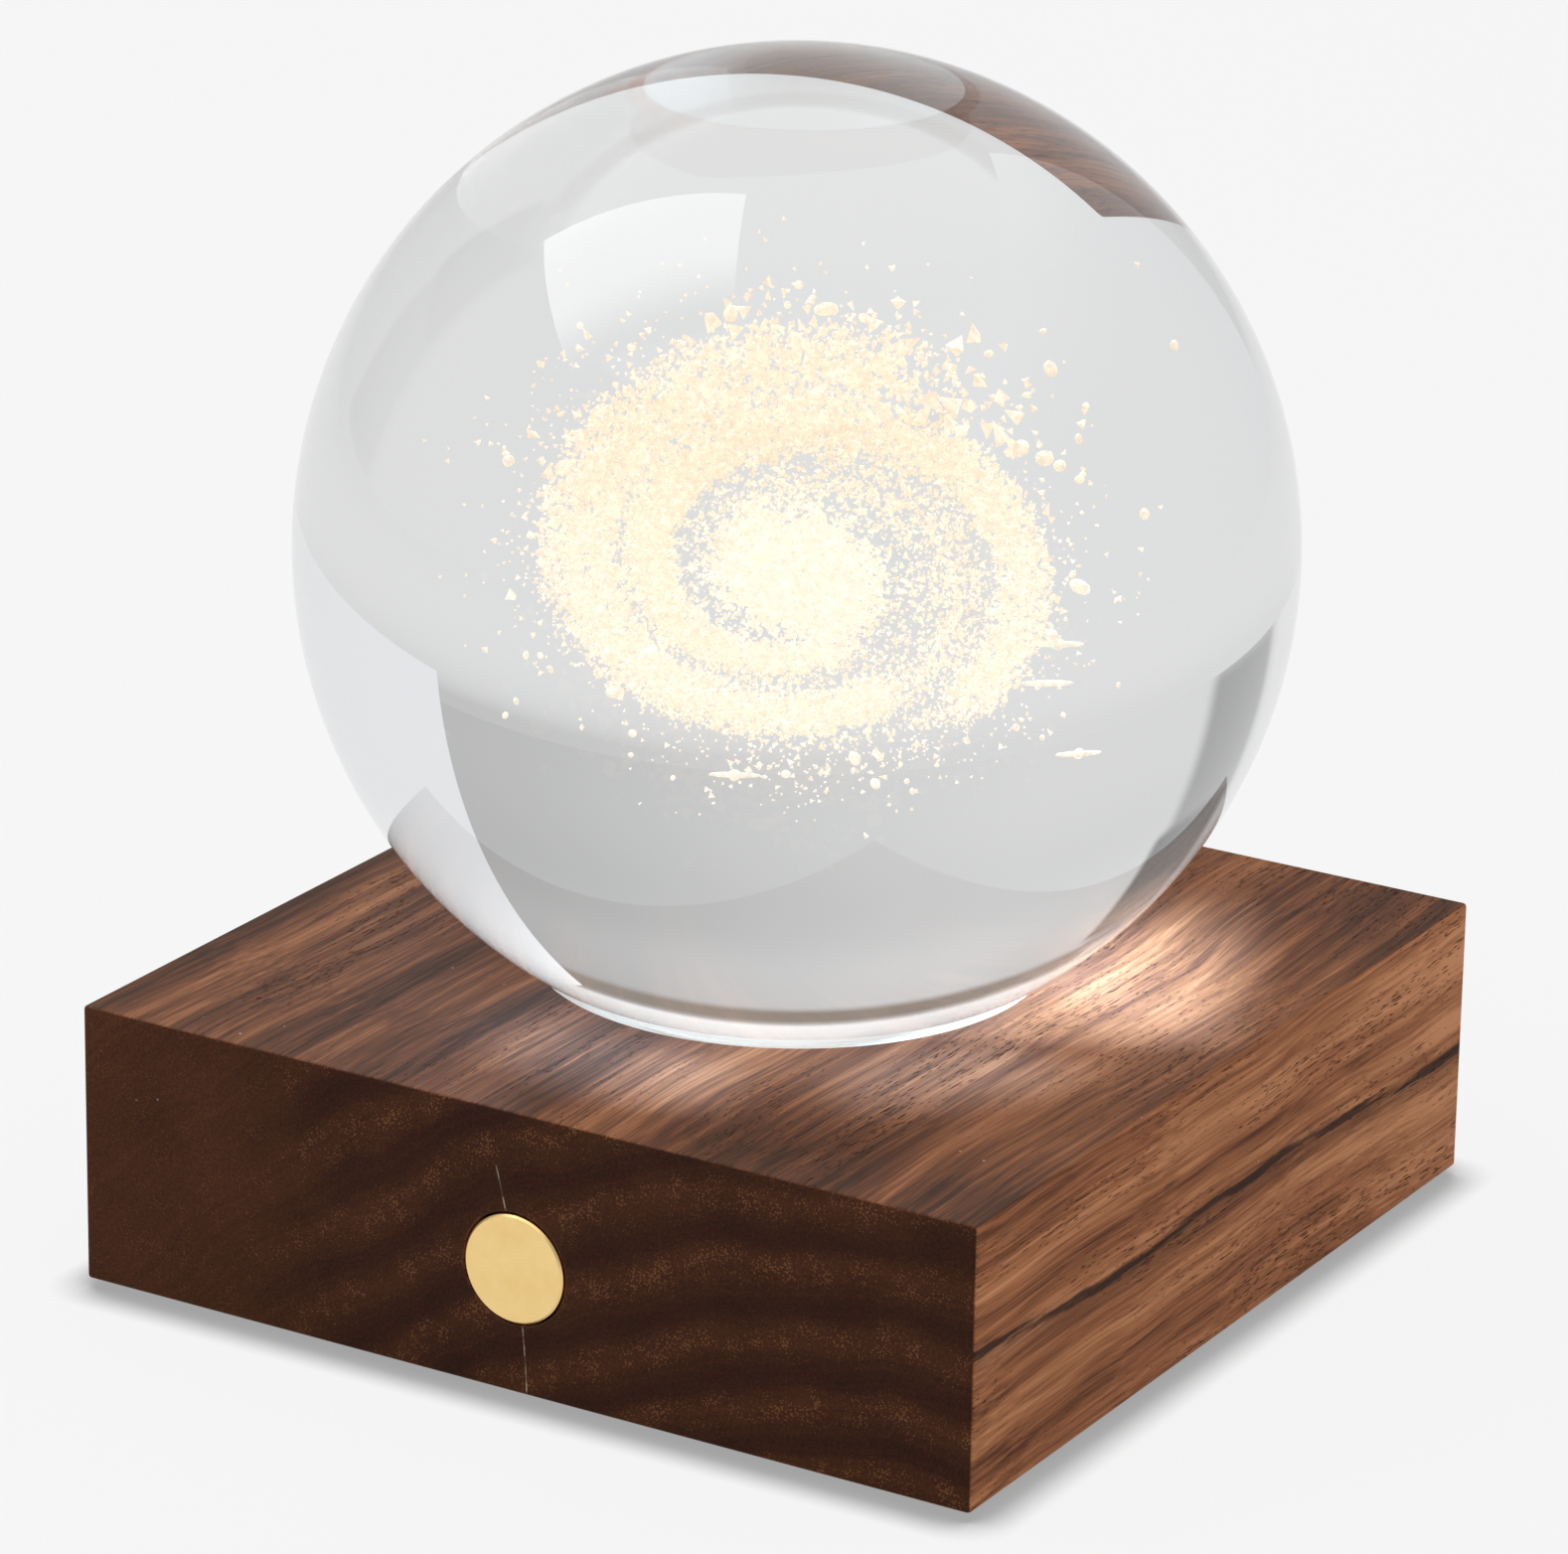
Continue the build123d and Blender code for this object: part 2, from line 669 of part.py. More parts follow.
# Bezel that fills the port's opening in the rear wall
with BuildPart() as port_bezel:
    with BuildSketch(upright(half_cavity + bezel_fit)):
        with Locations((0, socket_z)):
            RectangleRounded(*bezel_body, bezel_corner - bezel_fit)
    extrude(amount=bezel_face_y - bezel_face_thickness - half_cavity - bezel_fit)
    with BuildSketch(upright(bezel_face_y - bezel_face_thickness)):
        with Locations((0, socket_z)):
            RectangleRounded(*bezel_face, bezel_corner - bezel_fit)
    extrude(amount=bezel_face_thickness)
    chamfer(port_bezel.faces().sort_by(Axis.Y)[-1].edges(), bezel_edge)
    with BuildSketch(upright(bezel_face_y)):
        with Locations((0, socket_z)):
            SlotOverall(*bezel_plug_pocket)
    extrude(amount=-bezel_pocket_depth, mode=Mode.SUBTRACT)
    with BuildSketch(upright(bezel_face_y)):
        with Locations((0, socket_z)):
            SlotOverall(*bezel_slot)
    extrude(amount=-(wall + bezel_proud), mode=Mode.SUBTRACT)
port_bezel.part.label = "port_bezel"

# Lithium cell in a soft pouch, on a foam pad
with BuildPart() as battery:
    with BuildSketch(Plane.XY.offset(battery_bottom)):
        with Locations(battery_centre):
            Rectangle(battery_size[0], battery_size[1])
    extrude(amount=battery_size[2])
    fillet(battery.edges().filter_by(Axis.X), battery_edge_round)
battery.part.label = "battery"

with BuildPart() as battery_pad:
    with BuildSketch(Plane.XY.offset(plate_top)):
        with Locations(battery_centre):
            RectangleRounded(*pad_size, pad_corner)
    extrude(amount=pad_thickness)
battery_pad.part.label = "battery_pad"

# Protection board on the end of the cell
guard_x = battery_centre[0] + battery_size[0] / 2
with BuildPart() as guard_board:
    with Locations((guard_x, battery_centre[1], battery_bottom + battery_size[2] / 2)):
        Box(*guard_board_size, align=(Align.MIN, Align.CENTER, Align.CENTER))
guard_board.part.label = "guard_board"

# Plugs of the leads: on the front edge and both sides of the main board, behind the switch
# board and below the lamp board
side_connector_x = main_board_size[0] / 2 - connector_size[1] / 2
front_connector_y = main_board_front_y + connector_size[1] / 2
switch_board_back_y = switch_board_front_y + switch_board_thickness
with BuildPart() as lead_connectors:
    with Locations((led_connector_x, front_connector_y, board_top)):
        Box(*connector_size, align=(Align.CENTER, Align.CENTER, Align.MIN))
    for side in (-1, 1):
        with Locations(Location((side * side_connector_x, side_connector_y, board_top), (0, 0, 90))):
            Box(*connector_size, align=(Align.CENTER, Align.CENTER, Align.MIN))
    with Locations((-switch_plug_size[0] / 2, switch_board_back_y, switch_lead_level)):
        Box(*switch_plug_size, align=(Align.CENTER, Align.MIN, Align.CENTER))
    with Locations((*lamp_plug_centre, led_board_bottom)):
        Box(*lamp_plug_size, align=(Align.CENTER, Align.CENTER, Align.MAX))
lead_connectors.part.label = "lead_connectors"

# Leads from the cell's protection board to the right side of the main board
battery_lead_start = guard_x + guard_board_size[0]
battery_lead_level = battery_bottom + battery_size[2] / 2
red_lead, black_lead = lead_pair(
    (
        (battery_lead_start, -6.0, battery_lead_level),
        (lead_side_x, -6.0, battery_lead_level),
        (lead_side_x + 0.6, 6.0, battery_lead_level + 1.4),
        (lead_side_x - 0.4, side_connector_y, lead_level),
        (main_board_size[0] / 2, side_connector_y, lead_level),
    ),
    (2.2, 8.0, 3.2),
    (0, 0, lead_pitch),
)
red_lead.label = "battery_lead_red"
black_lead.label = "battery_lead_black"

# Leads from the lamp board to the front edge of the main board
lamp_plug_back_y = lamp_plug_centre[1] + lamp_plug_size[1] / 2
lamp_lead_level = led_board_bottom - lamp_plug_size[2] / 2
led_leads = lead_pair(
    (
        (lamp_plug_centre[0], lamp_plug_back_y, lamp_lead_level),
        (lamp_plug_centre[0], lamp_plug_back_y + 2.6, lamp_lead_level),
        (led_connector_x, main_board_front_y - 3.0, lamp_lead_level),
        (led_connector_x, main_board_front_y, lamp_lead_level),
    ),
    (2.2, 2.2),
    (lead_pitch, 0, 0),
)
led_leads = Compound(children=led_leads)
led_leads.label = "led_leads"

# Leads from the switch board, round the left of the battery, to the main board
switch_lead_y = switch_board_back_y + switch_lead_offset
switch_leads = lead_pair(
    (
        (-switch_plug_size[0], switch_lead_y, switch_lead_level),
        (-15.0, switch_lead_y, switch_lead_level),
        (-24.0, switch_lead_y + 3.4, switch_lead_level),
        (-lead_side_x, -13.0, switch_lead_level - 0.3),
        (-lead_side_x - 0.6, 6.0, lead_level - 0.4),
        (-lead_side_x + 0.4, side_connector_y, lead_level),
        (-main_board_size[0] / 2, side_connector_y, lead_level),
    ),
    (6.0, 6.0, 8.0, 12.0, 3.2),
    (0, 0, lead_pitch),
)
switch_leads = Compound(children=switch_leads)
switch_leads.label = "switch_leads"

# Bottom plate with battery ribs, screw holes and recesses for the feet
rib_outside = (rib_inside[0] + 2 * rib_thickness, rib_inside[1] + 2 * rib_thickness)
with BuildPart() as bottom_plate:
    with BuildSketch(Plane.XY.offset(plate_bottom)):
        RectangleRounded(plate_size, plate_size, plate_corner)
    extrude(amount=plate_thickness)
    with BuildSketch(Plane.XY.offset(plate_top)):
        with Locations((0, battery_centre[1])):
            RectangleRounded(*rib_outside, rib_inside_corner + rib_thickness)
            RectangleRounded(*rib_inside, rib_inside_corner, mode=Mode.SUBTRACT)
    extrude(amount=rib_height)
    with Locations(Plane(origin=(0, 0, plate_bottom), z_dir=(0, 0, -1))):
        with GridLocations(plate_screw_spread, plate_screw_spread, 2, 2):
            CounterSinkHole(
                plate_screw_size[2] + screw_clearance,
                plate_screw_size[0] + screw_clearance,
                plate_thickness,
                countersink_angle,
            )
        with GridLocations(foot_spread, foot_spread, 2, 2):
            Hole(foot_radius + foot_fit, depth=foot_recess)
bottom_plate.part.label = "bottom_plate"

# Screws of the bottom plate
plate_screw = screw(plate_screw_size, countersunk=True)
with BuildPart() as bottom_plate_screws:
    with Locations(Plane(origin=(0, 0, plate_bottom), z_dir=(0, 0, -1))):
        with GridLocations(plate_screw_spread, plate_screw_spread, 2, 2):
            add(plate_screw)
bottom_plate_screws.part.label = "bottom_plate_screws"

# Rubber feet
with BuildPart() as rubber_feet:
    with BuildSketch(Plane.XY):
        with GridLocations(foot_spread, foot_spread, 2, 2):
            Circle(foot_radius)
    extrude(amount=foot_proud + foot_recess)
    fillet(rubber_feet.edges().group_by(Axis.Z)[0], foot_round)
rubber_feet.part.label = "rubber_feet"

os.makedirs("parts", exist_ok=True)
for piece in (
    crystal_ball.part,
    galaxy_engraving.part,
    wooden_base.part,
    seat_ring.part,
    light_window.part,
    lamp_cup.part,
    lamp_cup_screws.part,
    led_board.part,
    led_chips.part,
    led_board_screws.part,
    brass_button.part,
    button_carrier.part,
    switch_plunger.part,
    tact_switch.part,
    switch_board.part,
    switch_bracket.part,
    bracket_screws.part,
    main_board.part,
    board_spacers.part,
    main_board_screws.part,
    board_parts.part,
    charge_socket.part,
    socket_tongue.part,
    port_bezel.part,
    battery.part,
    battery_pad.part,
    guard_board.part,
    lead_connectors.part,
    red_lead,
    black_lead,
    led_leads,
    switch_leads,
    bottom_plate.part,
    bottom_plate_screws.part,
    rubber_feet.part,
):
    export_step(piece, f"parts/{piece.label}.step")
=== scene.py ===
"""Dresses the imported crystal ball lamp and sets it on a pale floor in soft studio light."""

import logging
import math
from dataclasses import asdict, dataclass
from enum import Enum
from functools import cache
from typing import Iterable, Sequence

import bmesh
import bpy
from mathutils import Euler, Matrix, Vector


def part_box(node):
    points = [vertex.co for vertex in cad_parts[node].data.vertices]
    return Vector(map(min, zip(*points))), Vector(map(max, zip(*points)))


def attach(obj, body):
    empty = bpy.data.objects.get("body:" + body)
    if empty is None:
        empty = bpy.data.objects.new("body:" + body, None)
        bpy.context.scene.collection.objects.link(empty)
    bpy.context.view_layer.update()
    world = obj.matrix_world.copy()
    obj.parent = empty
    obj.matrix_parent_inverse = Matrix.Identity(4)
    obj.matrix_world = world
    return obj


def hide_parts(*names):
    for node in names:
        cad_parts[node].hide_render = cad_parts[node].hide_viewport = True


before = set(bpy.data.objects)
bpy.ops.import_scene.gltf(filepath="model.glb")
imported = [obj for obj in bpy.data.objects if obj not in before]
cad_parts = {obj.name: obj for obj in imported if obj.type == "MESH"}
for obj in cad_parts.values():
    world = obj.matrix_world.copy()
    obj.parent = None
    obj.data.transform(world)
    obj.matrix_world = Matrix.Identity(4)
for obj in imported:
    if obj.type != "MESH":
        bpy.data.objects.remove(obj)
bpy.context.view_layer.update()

MM = 0.001
FULL_TURN = 2 * math.pi
RAMP_PLACES = (0.0, 0.33, 0.66, 1.0)
SOCKET_KINDS = {int: "Int", float: "Float", bool: "Bool"}

Socket = bpy.types.NodeSocket
Colour = tuple[float, float, float]

log = logging.getLogger("lamp")


class Body(Enum):
    """The bodies of the lamp that pieces ride on."""

    BASE = "base"
    BALL = "ball"
    BUTTON = "button"


class Blend(Enum):
    """How one colour is laid over another."""

    MIX = "MIX"
    MULTIPLY = "MULTIPLY"


def opaque(colour: Colour) -> tuple[float, float, float, float]:
    """Returns the colour with full opacity, as a colour socket wants it."""
    return (*colour, 1.0)


@dataclass(frozen=True)
class Signal:
    """A number or vector that a node gives. Plain arithmetic on it places Math nodes."""

    graph: "Graph"
    socket: Socket

    def __add__(self, other: "Value") -> "Signal":
        """Returns the sum."""
        return self.graph.math("ADD", self, other)

    def __sub__(self, other: "Value") -> "Signal":
        """Returns the difference."""
        return self.graph.math("SUBTRACT", self, other)

    def __rsub__(self, other: "Value") -> "Signal":
        """Returns the other value less this one."""
        return self.graph.math("SUBTRACT", other, self)

    def __mul__(self, other: "Value") -> "Signal":
        """Returns the product."""
        return self.graph.math("MULTIPLY", self, other)

    def __truediv__(self, other: "Value") -> "Signal":
        """Returns the quotient."""
        return self.graph.math("DIVIDE", self, other)

    __radd__ = __add__
    __rmul__ = __mul__


Value = float | int | bool | tuple[float, ...] | Socket | Signal


class Graph:
    """Places nodes in one tree and links them, so that a finish reads as a list of steps."""

    def __init__(self, tree: bpy.types.NodeTree) -> None:
        """Keeps the tree that the nodes go into."""
        self.tree = tree

    def node(
        self, kind: str, inputs: dict[str | int, Value] | None = None, **settings: object
    ) -> bpy.types.Node:
        """Adds a node.

        Args:
            kind: The node's type name.
            inputs: Values or sockets for its inputs, by name or index.
            settings: Attributes set on the node before its inputs.

        Returns:
            The new node.
        """
        made = self.tree.nodes.new(kind)
        for name, value in settings.items():
            setattr(made, name, value)
        for key, value in (inputs or {}).items():
            self.feed(made, key, value)
        return made

    def feed(self, node: bpy.types.Node, key: str | int, value: Value) -> None:
        """Links a socket to an input, or sets the input's own value.

        Args:
            node: The node whose input it is.
            key: The input's name or index.
            value: A socket, or a plain value.
        """
        socket = node.inputs[key] if isinstance(key, int) else self.find(node.inputs, key)
        if isinstance(value, Signal):
            value = value.socket
        if isinstance(value, Socket):
            self.tree.links.new(value, socket)
        else:
            socket.default_value = value

    def read(
        self,
        kind: str,
        inputs: dict[str | int, Value] | None = None,
        output: str | int = 0,
        **settings: object,
    ) -> Signal:
        """Adds a node and returns one of its outputs."""
        return Signal(self, self.node(kind, inputs, **settings).outputs[output])

    def signals(self, node: bpy.types.Node) -> dict[str, Signal]:
        """Returns all outputs of a node by name."""
        return {socket.name: Signal(self, socket) for socket in node.outputs}

    @staticmethod
    def find(sockets: Iterable[Socket], name: str) -> Socket:
        """Returns the socket of that name that is in use on its node."""
        return next(s for s in sockets if s.name == name and s.enabled)

    def math(self, operation: str, *values: Value, clamp: bool = False) -> Signal:
        """Returns the result of a Math node."""
        inputs = dict(enumerate(values))
        return self.read("ShaderNodeMath", inputs, operation=operation, use_clamp=clamp)

    def vector(self, operation: str, *values: Value) -> Signal:
        """Returns the vector result of a Vector Math node."""
        inputs = dict(enumerate(values))
        return self.read("ShaderNodeVectorMath", inputs, "Vector", operation=operation)

    def measure(self, operation: str, *vectors: Value) -> Signal:
        """Returns the number that a Vector Math node gives, such as a length or a dot product."""
        inputs = dict(enumerate(vectors))
        return self.read("ShaderNodeVectorMath", inputs, "Value", operation=operation)

    def join(self, x: Value, y: Value, z: Value) -> Signal:
        """Returns a vector made of three numbers."""
        return self.read("ShaderNodeCombineXYZ", {0: x, 1: y, 2: z})

    def grey(self, tone: Value) -> Signal:
        """Returns a tone as a grey colour."""
        return self.join(tone, tone, tone)

    def split(self, vector: Signal) -> tuple[Signal, Signal, Signal]:
        """Returns the three numbers of a vector."""
        node = self.node("ShaderNodeSeparateXYZ", {0: vector})
        x, y, z = (Signal(self, part) for part in node.outputs)
        return x, y, z

    def remap(
        self, value: Value, low: float, high: float, to_low: Value = 0.0, to_high: Value = 1.0
    ) -> Signal:
        """Returns the value eased from one range into another.

        Args:
            value: What is remapped.
            low: Where the ease begins.
            high: Where it ends.
            to_low: The result at low.
            to_high: The result at high.

        Returns:
            The eased value.
        """
        inputs = {"From Min": low, "From Max": high, "To Min": to_low, "To Max": to_high}
        inputs["Value"] = value
        return self.read("ShaderNodeMapRange", inputs, interpolation_type="SMOOTHSTEP")

    def stretch(self, value: Value, low: float, high: float) -> Signal:
        """Returns how far the value lies from one limit to another, held between 0 and 1."""
        inputs = {"Value": value, "From Min": low, "From Max": high}
        return self.read("ShaderNodeMapRange", inputs)

    def band(self, value: Value, low: float, high: float, edge: float) -> Signal:
        """Returns 1 where the value is from low to high, and 0 a soft edge outside them."""
        begun = self.remap(value, low - edge, low + edge)
        return begun * self.remap(value, high - edge, high + edge, 1.0, 0.0)

    def noise(
        self, place: Signal, scale: Value = 1.0, detail: float = 2.0, roughness: float = 0.5
    ) -> Signal:
        """Returns smooth noise from 0 to 1 at a place."""
        inputs = {"Vector": place, "Scale": scale, "Detail": detail, "Roughness": roughness}
        return self.read("ShaderNodeTexNoise", inputs)

    def cells(self, place: Signal, scale: Value = 1.0) -> Signal:
        """Returns the distance to the nearest of many scattered points."""
        inputs = {"Vector": place, "Scale": scale}
        return self.read("ShaderNodeTexVoronoi", inputs, "Distance")

    def colours(self, share: Signal, stops: Sequence[tuple[float, Colour]]) -> Signal:
        """Returns a colour read from a ramp.

        Args:
            share: The place on the ramp, from 0 to 1.
            stops: The ramp's places and colours, in order.

        Returns:
            The colour.
        """
        made = self.node("ShaderNodeValToRGB", {0: share})
        ramp = made.color_ramp
        while len(ramp.elements) < len(stops):
            ramp.elements.new(0.5)
        for element, (place, colour) in zip(ramp.elements, stops):
            element.position = place
            element.color = opaque(colour)
        return Signal(self, made.outputs[0])

    def lay(
        self, share: Value, under: Value, over: Value, blend: Blend = Blend.MIX
    ) -> Signal:
        """Returns one colour laid over another by a share."""
        inputs = {"Factor": share, "A": under, "B": over}
        made = self.node(
            "ShaderNodeMix", inputs, data_type="RGBA", blend_type=blend.value, clamp_factor=True
        )
        return Signal(self, self.find(made.outputs, "Result"))

    def lay_value(self, share: Value, below: Value, above: Value) -> Signal:
        """Returns a value that goes from one to the other with the share."""
        return share * (above - below) + below

    def bump(self, height: Signal, depth: float) -> Signal:
        """Returns a normal bent by a height from 0 to 1, of that depth in metres."""
        return self.read("ShaderNodeBump", {"Height": height, "Strength": 1.0, "Distance": depth})

    def glow(self, colour: Value, strength: Value = 1.0) -> Signal:
        """Returns a shader that gives off light."""
        return self.read("ShaderNodeEmission", {"Color": colour, "Strength": strength})

    def mix(self, share: Value, first: Signal, second: Signal) -> Signal:
        """Returns a shader that goes from one to the other with the share."""
        return self.read("ShaderNodeMixShader", {0: share, 1: first, 2: second})

    def place(self) -> Signal:
        """Returns the surface's own place in millimetres."""
        spot = self.read("ShaderNodeTexCoord", output="Object")
        return self.vector("MULTIPLY", spot, (1 / MM,) * 3)

    def group(self, tree: bpy.types.NodeTree, **values: Value) -> bpy.types.Node:
        """Places a node group with its own values, named with underscores for spaces."""
        kind = "GeometryNodeGroup" if tree.type == "GEOMETRY" else "ShaderNodeGroup"
        made = self.node(kind, node_tree=tree)
        for name, value in values.items():
            self.feed(made, name.replace("_", " "), value)
        return made


def start_group(
    name: str, kind: str, takes: dict[str, tuple[str, object]], gives: dict[str, str]
) -> tuple[Graph, dict[str, Signal], bpy.types.Node]:
    """Starts a node group with named inputs and outputs.

    Args:
        name: The group's name.
        kind: The type name of its tree.
        takes: Each input's socket kind and default value.
        gives: Each output's socket kind.

    Returns:
        The graph inside it, its inputs by name, and its output node.
    """
    tree = bpy.data.node_groups.new(name, kind)
    for label, (socket_kind, default) in takes.items():
        socket = tree.interface.new_socket(
            name=label, in_out="INPUT", socket_type="NodeSocket" + socket_kind
        )
        if default is not None:
            socket.default_value = default
    for label, socket_kind in gives.items():
        tree.interface.new_socket(
            name=label, in_out="OUTPUT", socket_type="NodeSocket" + socket_kind
        )
    graph = Graph(tree)
    return graph, graph.signals(graph.node("NodeGroupInput")), graph.node("NodeGroupOutput")


def start_material(name: str) -> tuple[bpy.types.Material, Graph]:
    """Starts a material that has no nodes yet.

    Args:
        name: The material's name.

    Returns:
        The material and its graph.
    """
    made = bpy.data.materials.new(name)
    made.use_nodes = True
    made.node_tree.nodes.clear()
    return made, Graph(made.node_tree)


class SharedEffects:
    """The effects that several finishes use, each a shader group that is built once."""

    @staticmethod
    @cache
    def mottle() -> bpy.types.NodeTree:
        """Builds the group for uneven colour, gloss and relief, in patches 1 / Scale mm across."""
        takes = {
            "Scale": ("Float", 0.3),
            "Grain Scale": ("Float", 6.0),
            "Colour": ("Color", opaque((0.5, 0.5, 0.5))),
            "Second Colour": ("Color", opaque((0.4, 0.4, 0.4))),
            "Roughness": ("Float", 0.5),
            "Spread": ("Float", 0.1),
        }
        gives = {"Colour": "Color", "Roughness": "Float", "Height": "Float"}
        graph, given, result = start_group("mottle", "ShaderNodeTree", takes, gives)
        place = graph.place()
        patches = graph.noise(place, given["Scale"], 4.0, 0.6)
        grain = graph.noise(place, given["Grain Scale"], 3.0, 0.7)
        share = graph.remap(grain * 0.3 + patches, 0.4, 0.9)
        colour = graph.lay(share, given["Colour"], given["Second Colour"])
        swing = patches + grain - 1.0
        rough = graph.math(
            "MULTIPLY_ADD", swing, given["Spread"], given["Roughness"], clamp=True
        )
        graph.feed(result, "Colour", colour)
        graph.feed(result, "Roughness", rough)
        graph.feed(result, "Height", grain)
        return graph.tree

    @staticmethod
    @cache
    def edge_wear() -> bpy.types.NodeTree:
        """Builds the group that finds worn edges, where a rounded normal leaves the real one."""
        takes = {"Radius": ("Float", 0.4 * MM), "Amount": ("Float", 1.0)}
        graph, given, result = start_group(
            "edge_wear", "ShaderNodeTree", takes, {"Mask": "Float"}
        )
        rounded = graph.node("ShaderNodeBevel", {"Radius": given["Radius"]}, samples=4)
        plain = graph.read("ShaderNodeNewGeometry", output="Normal")
        agree = graph.measure("DOT_PRODUCT", rounded.outputs[0], plain)
        edge = graph.remap(agree, 0.80, 0.995, 1.0, 0.0)
        broken = graph.remap(graph.noise(graph.place(), 0.8, 5.0, 0.7), 0.35, 0.75)
        worn = edge * broken
        graph.feed(
            result, "Mask", graph.math("MULTIPLY", worn, given["Amount"], clamp=True)
        )
        return graph.tree

    @staticmethod
    @cache
    def dust() -> bpy.types.NodeTree:
        """Builds the group that scatters fine specks, 1 / Scale millimetres apart."""
        takes = {"Scale": ("Float", 0.6), "Speck": ("Float", 0.08), "Amount": ("Float", 1.0)}
        graph, given, result = start_group("dust", "ShaderNodeTree", takes, {"Mask": "Float"})
        place = graph.place()
        gap = graph.cells(place, given["Scale"])
        speck = graph.math("LESS_THAN", gap, given["Speck"])
        drift = graph.remap(graph.noise(place, 0.09, 3.0, 0.6), 0.5, 0.7)
        mask = speck * drift
        graph.feed(
            result, "Mask", graph.math("MULTIPLY", mask, given["Amount"], clamp=True)
        )
        return graph.tree


@dataclass(frozen=True)
class Finish:
    """What every finish has: a name, and one material that is made when it is first asked for."""

    name: str

    def material(self) -> bpy.types.Material:
        """Returns the finish's material."""
        known = bpy.data.materials.get(self.name)
        if known is not None:
            return known
        made, graph = start_material(self.name)
        shader = graph.node("ShaderNodeBsdfPrincipled")
        graph.node("ShaderNodeOutputMaterial", {"Surface": shader.outputs[0]})
        self.paint(graph, shader)
        return made

    def paint(self, graph: Graph, shader: bpy.types.Node) -> None:
        """Lays the finish's nodes.

        Args:
            graph: The material's graph.
            shader: The surface shader that they feed.
        """
        raise NotImplementedError

    @staticmethod
    def mottle(
        graph: Graph,
        shader: bpy.types.Node,
        colours: tuple[Colour, Colour],
        gloss: tuple[float, float],
        scales: tuple[float, float],
    ) -> tuple[Signal, Signal]:
        """Feeds the shader an uneven roughness, and returns the colour and relief to go with it.

        Args:
            graph: The material's graph.
            shader: The surface shader.
            colours: The main colour, and the colour of the patches.
            gloss: The middle roughness, and how far it swings.
            scales: How many patches, and how many grains, go to a millimetre.

        Returns:
            The colour and the height.
        """
        node = graph.group(
            SharedEffects.mottle(),
            Scale=scales[0],
            Grain_Scale=scales[1],
            Colour=opaque(colours[0]),
            Second_Colour=opaque(colours[1]),
            Roughness=gloss[0],
            Spread=gloss[1],
        )
        given = graph.signals(node)
        graph.feed(shader, "Roughness", given["Roughness"])
        return given["Colour"], given["Height"]

    @staticmethod
    def wear(graph: Graph, colour: Signal, edge: Colour, radius: float, amount: float) -> Signal:
        """Returns a colour worn to another along edges, within a radius in millimetres."""
        made = graph.group(SharedEffects.edge_wear(), Radius=radius * MM, Amount=amount)
        return graph.lay(made.outputs[0], colour, opaque(edge))

    @staticmethod
    def dust(
        graph: Graph, colour: Signal, speck: Colour, scale: float, size: float, amount: float
    ) -> Signal:
        """Returns a colour with fine specks of another, 1 / scale millimetres apart."""
        made = graph.group(SharedEffects.dust(), Scale=scale, Speck=size, Amount=amount)
        return graph.lay(made.outputs[0], colour, opaque(speck))


@dataclass(frozen=True)
class MouldedFinish(Finish):
    """Plastic, rubber, foam, foil or a board: uneven colour and gloss, fine relief, worn edges."""

    colour: Colour
    second_colour: Colour
    roughness: float = 0.5
    spread: float = 0.12
    patch_scale: float = 0.25
    grain_scale: float = 6.0
    relief: float = 0.02
    edge_colour: Colour = (0.6, 0.6, 0.6)
    edge_amount: float = 0.25
    metallic: float = 0.0

    def paint(self, graph: Graph, shader: bpy.types.Node) -> None:
        """Lays mottle, edge wear and dust."""
        colours = (self.colour, self.second_colour)
        gloss = (self.roughness, self.spread)
        scales = (self.patch_scale, self.grain_scale)
        colour, height = self.mottle(graph, shader, colours, gloss, scales)
        colour = self.wear(graph, colour, self.edge_colour, radius=0.25, amount=self.edge_amount)
        colour = self.dust(graph, colour, (0.6,) * 3, scale=0.9, size=0.05, amount=0.5)
        graph.feed(shader, "Base Color", colour)
        graph.feed(shader, "Normal", graph.bump(height, self.relief * MM))
        graph.feed(shader, "Metallic", self.metallic)


